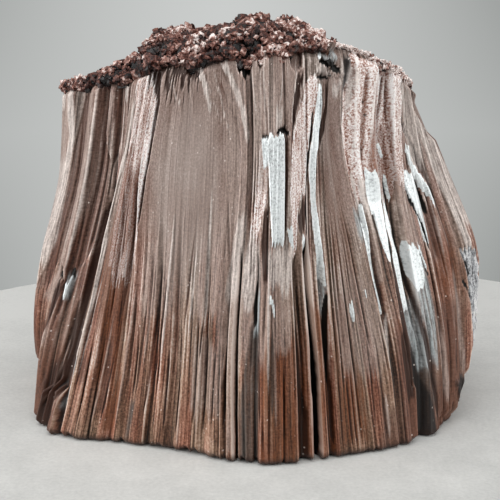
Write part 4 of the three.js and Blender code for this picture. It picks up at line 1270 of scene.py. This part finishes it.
def plain_colour(tree, fibre, share, layers):
    """Red-brown fibres below and mauve-grey ones above, partly painted sheen, with calm satin panels."""
    calm = 1 - 0.85 * tree.attribute("satin")
    pale_veins = tree.veins(tree.stretched(fibre, (0.60, 0.010, 0)), 0.03)
    dark_veins = tree.veins(tree.stretched(fibre, (0.85, 0.014, 0)), 0.04)
    lined = 0.13 * tree.attribute("tone") + 0.8 * layers.threads + 0.7 * layers.streaks + 0.7 * layers.hairs
    lined = lined + 0.4 * layers.lines + 0.22 * pale_veins - 0.25 * dark_veins
    high = tree.between(share + 0.6 * layers.blotches, *HIGH_COLOURS)
    tone = 0.45 + 0.05 * high + lined * calm + 1.1 * layers.speckle + 0.8 * layers.blotches
    # painted highlights on the ridges and painted shade in the grooves
    tone = tone + 0.45 * layers.stands + 1.8 * layers.edges
    olive = tree.between(tree.attribute("hue") * calm + 1.5 * layers.blotches, -0.7, 0.7)
    low_colour = tree.mix(olive, tree.ramp(tone, LOW_REDS), tree.ramp(tone, LOW_OLIVES))
    high_colour = tree.mix(olive, tree.ramp(tone, HIGH_MAUVES_AND_SHEEN), tree.ramp(tone, HIGH_GREYS_AND_SHEEN))
    return tree.mix(high, low_colour, high_colour)


def rough_colour(tree, layers):
    """The crackled pink of the rough bands."""
    tone = 0.64 + 1.2 * layers.hairs + 1.0 * layers.speckle + 2.8 * layers.crackle + 0.7 * layers.streaks
    # painted highlights on the ridges and painted shade in the grooves
    tone = tone + 0.8 * layers.blotches + 0.6 * layers.stands + 1.2 * layers.edges
    return tree.ramp(tone, ROUGH_PINKS)


def silver_colour(tree, layers):
    """The bright faces where the stone split cleanly, their near-white partly painted reflection."""
    tone = 0.62 + 0.5 * layers.threads + 0.9 * layers.hairs + 2.0 * layers.speckle + 0.8 * layers.blotches
    # painted highlights on the ridges and painted shade in the grooves
    return tree.ramp(tone + 0.8 * layers.stands, SILVERS_AND_REFLECTION)


def tinted(tree, colour, layers):
    """A colour under the plain tints, each with darker and lighter fibres of its own."""
    fine = 0.45 + 1.2 * layers.threads + 1.6 * layers.hairs + 1.2 * layers.speckle
    # painted highlights on the ridges and painted shade in the grooves
    fine = (fine + 0.5 * layers.stands + 1.5 * layers.edges).clamped()
    uneven = layers.threads + 0.6 * layers.hairs
    for tint in TINTS:
        cover = (tree.attribute(tint.finish) * (tint.cover + tint.streaky * uneven)).clamped()
        levels = [1 + change * min(tint.streaky, 1) for change in TINT_CHANGES]
        dim, lit = ([part * level for part in tint.colour] for level in levels)
        colour = tree.mix(cover, colour, tree.mix(fine, dim, lit))
    return colour


def flaked(tree, colour, layers):
    """A colour under the dark flakes of the right edge."""
    flaky = tree.between(tree.attribute("flaky") + 0.7 * layers.hairs, 0.35, 0.55)
    # painted highlights on the ridges and painted shade in the grooves
    tone = 0.6 + 1.5 * layers.speckle + 1.5 * layers.hairs + 1.5 * layers.blotches + 1.5 * layers.stands
    return tree.mix(flaky, colour, tree.ramp(tone, FLAKES))


def dusted(tree, colour, fibre, layers):
    """A colour under scattered specks of pale dust."""
    specks = tree.between(tree.dots(tree.stretched(fibre, (0.8, 0.6, 0))), *DUST_SIZES)
    dust = specks * tree.between(layers.speckle + layers.blotches, 0.0, 0.06)
    return tree.mix(dust * 0.8, colour, DUST)


def darkened(tree, colour, height, layers):
    """A colour with painted shade: the foot deep brown, and the grooves, hollows and cracks black."""
    colour = tree.mix(tree.between(height + 2.4 * layers.threads, *SHADED_FOOT) * 0.8, colour, DEEP_BROWN)
    colour = tree.mix(tree.between(layers.stands, *GROOVE_SHADE), colour, SHADE_BLACK)
    return tree.mix(tree.between(tree.attribute("black") + 0.5 * layers.hairs, 0.3, 0.6), colour, SHADE_BLACK)


def fibre_finish():
    material = bpy.data.materials.new("satin_hematite_fibres")
    tree = Tree(material)
    fibre = tree.attribute("fibre", "Vector")
    _, height, share = tree.parts(fibre)
    layers = fibre_layers(tree, fibre)
    rough = tree.between(tree.attribute("rough") + 0.7 * layers.hairs, 0.3, 0.6)
    shine = tree.between(tree.attribute("shine") + 0.9 * layers.threads + 0.6 * layers.hairs, 0.4, 0.55)
    colour = tree.mix(rough, plain_colour(tree, fibre, share, layers), rough_colour(tree, layers))
    colour = tree.mix(shine, tinted(tree, colour, layers), silver_colour(tree, layers))
    colour = dusted(tree, flaked(tree, colour, layers), fibre, layers)
    bumps = layers.threads + 0.6 * layers.lines + layers.hairs * (0.3 + 0.6 * rough)
    bumps = bumps + 0.3 * layers.speckle + layers.crackle * rough
    tree.surface({
        "Base Color": darkened(tree, colour, height, layers),
        "Roughness": 0.45 + 0.2 * rough + 0.3 * layers.speckle,
        "Metallic": shine * 0.35,
        "IOR": 1.36,
        "Normal": tree.bump(bumps, strength=0.6, distance=STONE_BUMP),
    })
    return material


def crust_finish():
    material = bpy.data.materials.new("granular_hematite_crust")
    tree = Tree(material)
    place = tree.add("ShaderNodeTexCoord", output=3)
    speckle = tree.noise(place, 1300, detail=4, roughness=0.65)
    patches = tree.noise(place, 150, detail=3)
    # painted glints and shade: the speckle and the grains' tones reach black gaps and near-white tops
    tone = 0.12 + 0.6 * tree.attribute("tone") + 1.9 * speckle + 1.5 * patches
    tree.surface({
        "Base Color": tree.ramp(tone, CRUST_REDS_SHADE_AND_GLINTS),
        "Roughness": 0.5 + 0.5 * speckle,
        "IOR": 1.45,
        "Normal": tree.bump(speckle, strength=0.8, distance=CRUST_BUMP),
    })
    return material


# ---- The pieces ---------------------------------------------------------
satin = fibre_finish()
pieces = [make_side(side) for side in SIDES]
for piece in pieces:
    piece.data.materials.append(satin)
random = np.random.default_rng(CRUST_SEED)
front_rim, back_rim = rim_points(0, SIDE_JOIN), rim_points(SIDE_JOIN, COUNT)
rim = np.concatenate([front_rim, back_rim])
lumps = make_lumps(rim, random)
front_grains = [grain_batch(kind, front_rim, lumps, random) for kind in FRONT_GRAINS]
ground = [bed_batch(rim), lump_batch(lumps, random)]
back_grains = [grain_batch(kind, back_rim, lumps, random) for kind in BACK_GRAINS]
crusts = [make_crust("front_crust", front_grains), make_crust("back_crust", ground + back_grains)]
grainy = crust_finish()
for piece in crusts:
    piece.data.materials.append(grainy)
for piece in [*pieces, *crusts]:
    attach(piece, "root")
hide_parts(NODE)

# ---- The stage ----------------------------------------------------------
CAMERA_AT = (-0.915, -206.544, 86.0)
CAMERA_TILT = 15
LENS = 86.4
FLOOR_RADIUS = 106
FLOOR_CENTRE = (4.9, -5.9)
FLOOR_DROP = 0.02  # the floor lies this far under the foot
FLOOR_CORNERS = 128
FLOOR_NEAR = (0.444, 0.450, 0.436)
FLOOR_FAR = (0.720, 0.722, 0.698)
FLOOR_FADE = (-0.09, 0.06)  # from and to what y, in metres, the floor lightens
ROOM_LIGHT = (0.14, 0.14, 0.14)
BACKDROP_MIDDLE = (0.592, 0.607, 0.598)
BACKDROP_EDGE = (0.315, 0.328, 0.320)
BACKDROP_CENTRE = -0.02  # the level part of the direction in which the backdrop is brightest
BACKDROP_LEVEL = -0.16  # the upward part of the direction in which it falls off least
BACKDROP_FALL = 7.2  # how fast it darkens away from its centre
BACKDROP_CURVE = 1.5
BACKDROP_SPREAD = (0.75, 4.0)  # how fast it falls off at that level, and how much faster away from it
Softbox = namedtuple("Softbox", "name place size radiance")
SOFTBOXES = [
    Softbox("left_softbox", place=(-320, -85, 110), size=(260, 260), radiance=5.5),
    Softbox("right_softbox", place=(320, -85, 120), size=(200, 260), radiance=4.0),
    Softbox("top_softbox", place=(0, -150, 330), size=(360, 300), radiance=3.0),
]
SOFTBOX_AIM = (0, 0, 35)


def floor_finish():
    material = bpy.data.materials.new("pale_floor")
    tree = Tree(material)
    place = tree.add("ShaderNodeTexCoord", output=3)
    mottle = tree.noise(place, 120, detail=6, roughness=0.7)
    grit = tree.noise(place, 1400, detail=3, roughness=0.7)
    away = tree.between(tree.parts(place)[1], *FLOOR_FADE) + 0.9 * mottle + 0.8 * grit
    tree.surface({"Base Color": tree.mix(away.clamped(), FLOOR_NEAR, FLOOR_FAR), "Roughness": 0.6})
    return material


def make_floor():
    turns = np.linspace(0, 2 * math.pi, FLOOR_CORNERS, endpoint=False)
    ring = np.column_stack([np.cos(turns), np.sin(turns), np.zeros(FLOOR_CORNERS)]) * FLOOR_RADIUS
    ring += [*FLOOR_CENTRE, -FLOOR_DROP]
    floor = new_object("floor", ring + ORIGIN, [tuple(range(FLOOR_CORNERS))])
    floor.data.materials.append(floor_finish())


def hang_softbox(softbox):
    light = bpy.data.lights.new(softbox.name, "AREA")
    light.shape = "RECTANGLE"
    light.size, light.size_y = [side * MM for side in softbox.size]
    light.energy = softbox.radiance * math.pi * light.size * light.size_y
    holder = bpy.data.objects.new(softbox.name, light)
    holder.location = Vector(softbox.place) * MM
    holder.rotation_euler = (Vector(SOFTBOX_AIM) * MM - holder.location).to_track_quat("-Z", "Y").to_euler()
    holder.visible_camera = False
    bpy.context.scene.collection.objects.link(holder)


def set_world():
    """A grey backdrop for the camera, and an even light for everything else."""
    world = bpy.data.worlds.new("grey_room")
    bpy.context.scene.world = world
    tree = Tree(world)
    seen = tree.add("ShaderNodeLightPath")
    across, _, up = tree.parts(tree.add("ShaderNodeTexCoord"))
    least, more = BACKDROP_SPREAD
    fall = BACKDROP_FALL * abs(across - BACKDROP_CENTRE) ** BACKDROP_CURVE
    fall = (fall * (least + more * abs(up - BACKDROP_LEVEL))).clamped()
    colour = tree.mix(seen, ROOM_LIGHT, tree.mix(fall, BACKDROP_MIDDLE, BACKDROP_EDGE))
    background = tree.add("ShaderNodeBackground", {}, {"Color": colour, "Strength": 1.0})
    tree.add("ShaderNodeOutputWorld", {}, {"Surface": background})


def set_camera():
    lens = bpy.data.cameras.new("camera")
    lens.lens = LENS
    camera = bpy.data.objects.new("camera", lens)
    camera.location = Vector(CAMERA_AT) * MM
    camera.rotation_euler = (math.radians(90 - CAMERA_TILT), 0, 0)
    bpy.context.scene.collection.objects.link(camera)
    bpy.context.scene.camera = camera


set_camera()
make_floor()
set_world()
for softbox in SOFTBOXES:
    hang_softbox(softbox)
bpy.context.scene.view_settings.view_transform = "Standard"
